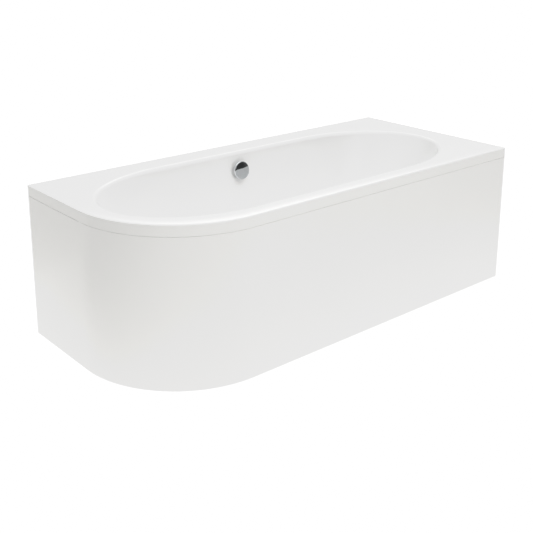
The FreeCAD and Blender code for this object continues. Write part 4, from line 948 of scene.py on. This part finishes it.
def white_paper(tree, lit, white, output):
    """Shows the stage as plain white paper, while the bath is lit by its shaded light."""
    direct = add_node(tree, "ShaderNodeLightPath").outputs["Is Camera Ray"]
    seen = add_node(tree, "ShaderNodeMixShader", {"Fac": direct, 1: lit.outputs[0], 2: white.outputs[0]})
    tree.links.new(seen.outputs[0], tree.nodes[output].inputs["Surface"])


def floor():
    """A white floor that glows a little, most round the bath's foot, and more or less towards some sides."""
    shape = bmesh.new()
    bmesh.ops.create_grid(shape, x_segments=4, y_segments=4, size=45)
    mesh = bpy.data.meshes.new("studio_floor")
    shape.to_mesh(mesh)
    shape.free()
    warm_white = (1, 0.99, 0.955, 1)
    material, tree, shader, place = start_material("studio_floor", roughness=0.85, specular_ior_level=0.1,
                                                   emission_color=warm_white)
    spot = add_node(tree, "ShaderNodeSeparateXYZ", {"Vector": place})
    gaps = []
    for axis, middle, half in (("X", 150, HALF_LENGTH), ("Y", 0, HALF_WIDTH)):
        offset = calculate(tree, "SUBTRACT", spot.outputs[axis], middle * MM)
        gaps.append(calculate(tree, "SUBTRACT", calculate(tree, "ABSOLUTE", offset), half * MM))
    glow = smooth_step(tree, calculate(tree, "MAXIMUM", *gaps), (0.05, 0.7), (1.15, 0.82))
    changes = (((0.35, 0.94, 0), (0.05, 0.4), 0.18),
               ((-0.918, 0.397, 0), (1.06, 1.9), -0.31),
               ((0.64, -0.77, 0), (0.75, 1.7), -0.2))
    for direction, span, change in changes:
        step = smooth_step(tree, reach_along(tree, place, direction), span, (0.0, change))
        glow = calculate(tree, "ADD", glow, step)
    feed(tree, shader, base_color=ramp(tree, noise(tree, place, 1.5), (0.3, 0.2), (0.7, 0.21)),
         emission_strength=glow)
    white_paper(tree, shader, add_node(tree, "ShaderNodeEmission", {"Strength": PAPER}), "Material Output")
    mesh.materials.append(material)
    item = bpy.data.objects.new("studio_floor", mesh)
    item.location.z = -0.0005
    scene.collection.objects.link(item)


def sky():
    """A soft studio dome: brightest overhead, with a pale horizon behind the bath and a dark one in front of it.
    One soft window stands behind the bath, at half height."""
    world = bpy.data.worlds.new("studio")
    world.use_nodes = True
    scene.world = world
    tree = world.node_tree
    way = add_node(tree, "ShaderNodeTexCoord").outputs["Generated"]
    height = add_node(tree, "ShaderNodeSeparateXYZ", {"Vector": way}).outputs["Z"]
    behind = reach_along(tree, way, (0.75, 0.66, 0))
    share = add_node(tree, "ShaderNodeMapRange", {"Value": behind, "From Min": -1.0, "From Max": 1.0})
    horizon = ramp(tree, share.outputs["Result"], (0.0, 0.05), (0.5, 0.06), (0.9, 0.4), (1.0, 0.85))
    overhead = ramp(tree, height, (0.35, 0.0), (0.75, 0.5), (1.0, 1.0))
    dome = mix(tree, horizon, (1.88, 1.88, 1.88, 1), overhead)

    window_turn = (math.radians(38), 0, math.radians(-44))
    window_size = (0.5, 100, 0.36)
    facing = add_node(tree, "ShaderNodeMapping", {"Vector": way, "Rotation": window_turn, "Scale": window_size},
                      vector_type="TEXTURE").outputs["Vector"]
    reach = add_node(tree, "ShaderNodeVectorMath", {0: facing}, operation="LENGTH").outputs["Value"]
    window = smooth_step(tree, reach, (0.15, 1.0), (2.1, 0.0))
    studio = tree.nodes["Background"]
    tree.links.new(mix(tree, dome, window, blend="ADD"), studio.inputs["Color"])
    studio.inputs["Strength"].default_value = 1.0
    white = add_node(tree, "ShaderNodeBackground", {"Color": (1, 1, 1, 1), "Strength": PAPER})
    white_paper(tree, studio, white, "World Output")


def area_light(name, at, towards, size, power):
    data = bpy.data.lights.new(name, "AREA")
    data.shape = "RECTANGLE"
    data.size, data.size_y = size
    data.energy = power
    item = bpy.data.objects.new(name, data)
    item.location = at
    item.rotation_euler = (Vector(towards) - Vector(at)).to_track_quat("-Z", "Y").to_euler()
    item.visible_camera = False
    scene.collection.objects.link(item)


def camera():
    """The photograph's camera: place, yaw, downward pitch, roll and focal length found from the bath's edges."""
    place = (-2.0803, -2.3367, 1.4143)
    yaw, pitch, roll = 0.7051, 0.2635, 0.0017
    focal_pixels, image_pixels = 871.996, 533
    level = math.cos(pitch)
    forward = Vector((math.sin(yaw) * level, math.cos(yaw) * level, -math.sin(pitch)))
    side = Vector((math.cos(yaw), -math.sin(yaw), 0))
    up = side.cross(forward)
    right = side * math.cos(roll) + up * math.sin(roll)
    above = up * math.cos(roll) - side * math.sin(roll)
    data = bpy.data.cameras.new("photo_camera")
    data.sensor_width = 36
    data.lens = data.sensor_width * focal_pixels / image_pixels
    data.shift_y = -0.2
    data.clip_end = 100
    item = bpy.data.objects.new("photo_camera", data)
    turn = Matrix((right, above, -forward)).transposed().to_4x4()
    item.matrix_world = Matrix.Translation(place) @ turn
    scene.collection.objects.link(item)
    scene.camera = item


def tone():
    """A print's tone curve: whites on the bath are drawn together, and only the paper reaches full white."""
    view = scene.view_settings
    view.view_transform = "Standard"
    view.use_curve_mapping = True
    brightest = 1.4
    view.curve_mapping.white_level = (brightest, brightest, brightest)
    combined_curve = 3
    points = view.curve_mapping.curves[combined_curve].points
    points[-1].location = (1, 1)
    for light, shown in ((0.70, 0.72), (0.76, 0.775), (0.86, 0.807), (0.98, 0.828), (1.1, 0.866), (1.2, 0.91),
                         (1.36, 1.0)):
        points.new(light / brightest, shown)
    for point in points:
        point.handle_type = "VECTOR"
    view.curve_mapping.update()


floor()
sky()
area_light("softbox", (0.2, -0.8, 2.6), (0.1, 0.0, 0.4), (2.0, 1.2), 11)
area_light("front_softbox", (-0.6, -1.9, 1.5), (-0.02, 0.24, 0.48), (1.6, 0.8), 3.5)
camera()
tone()
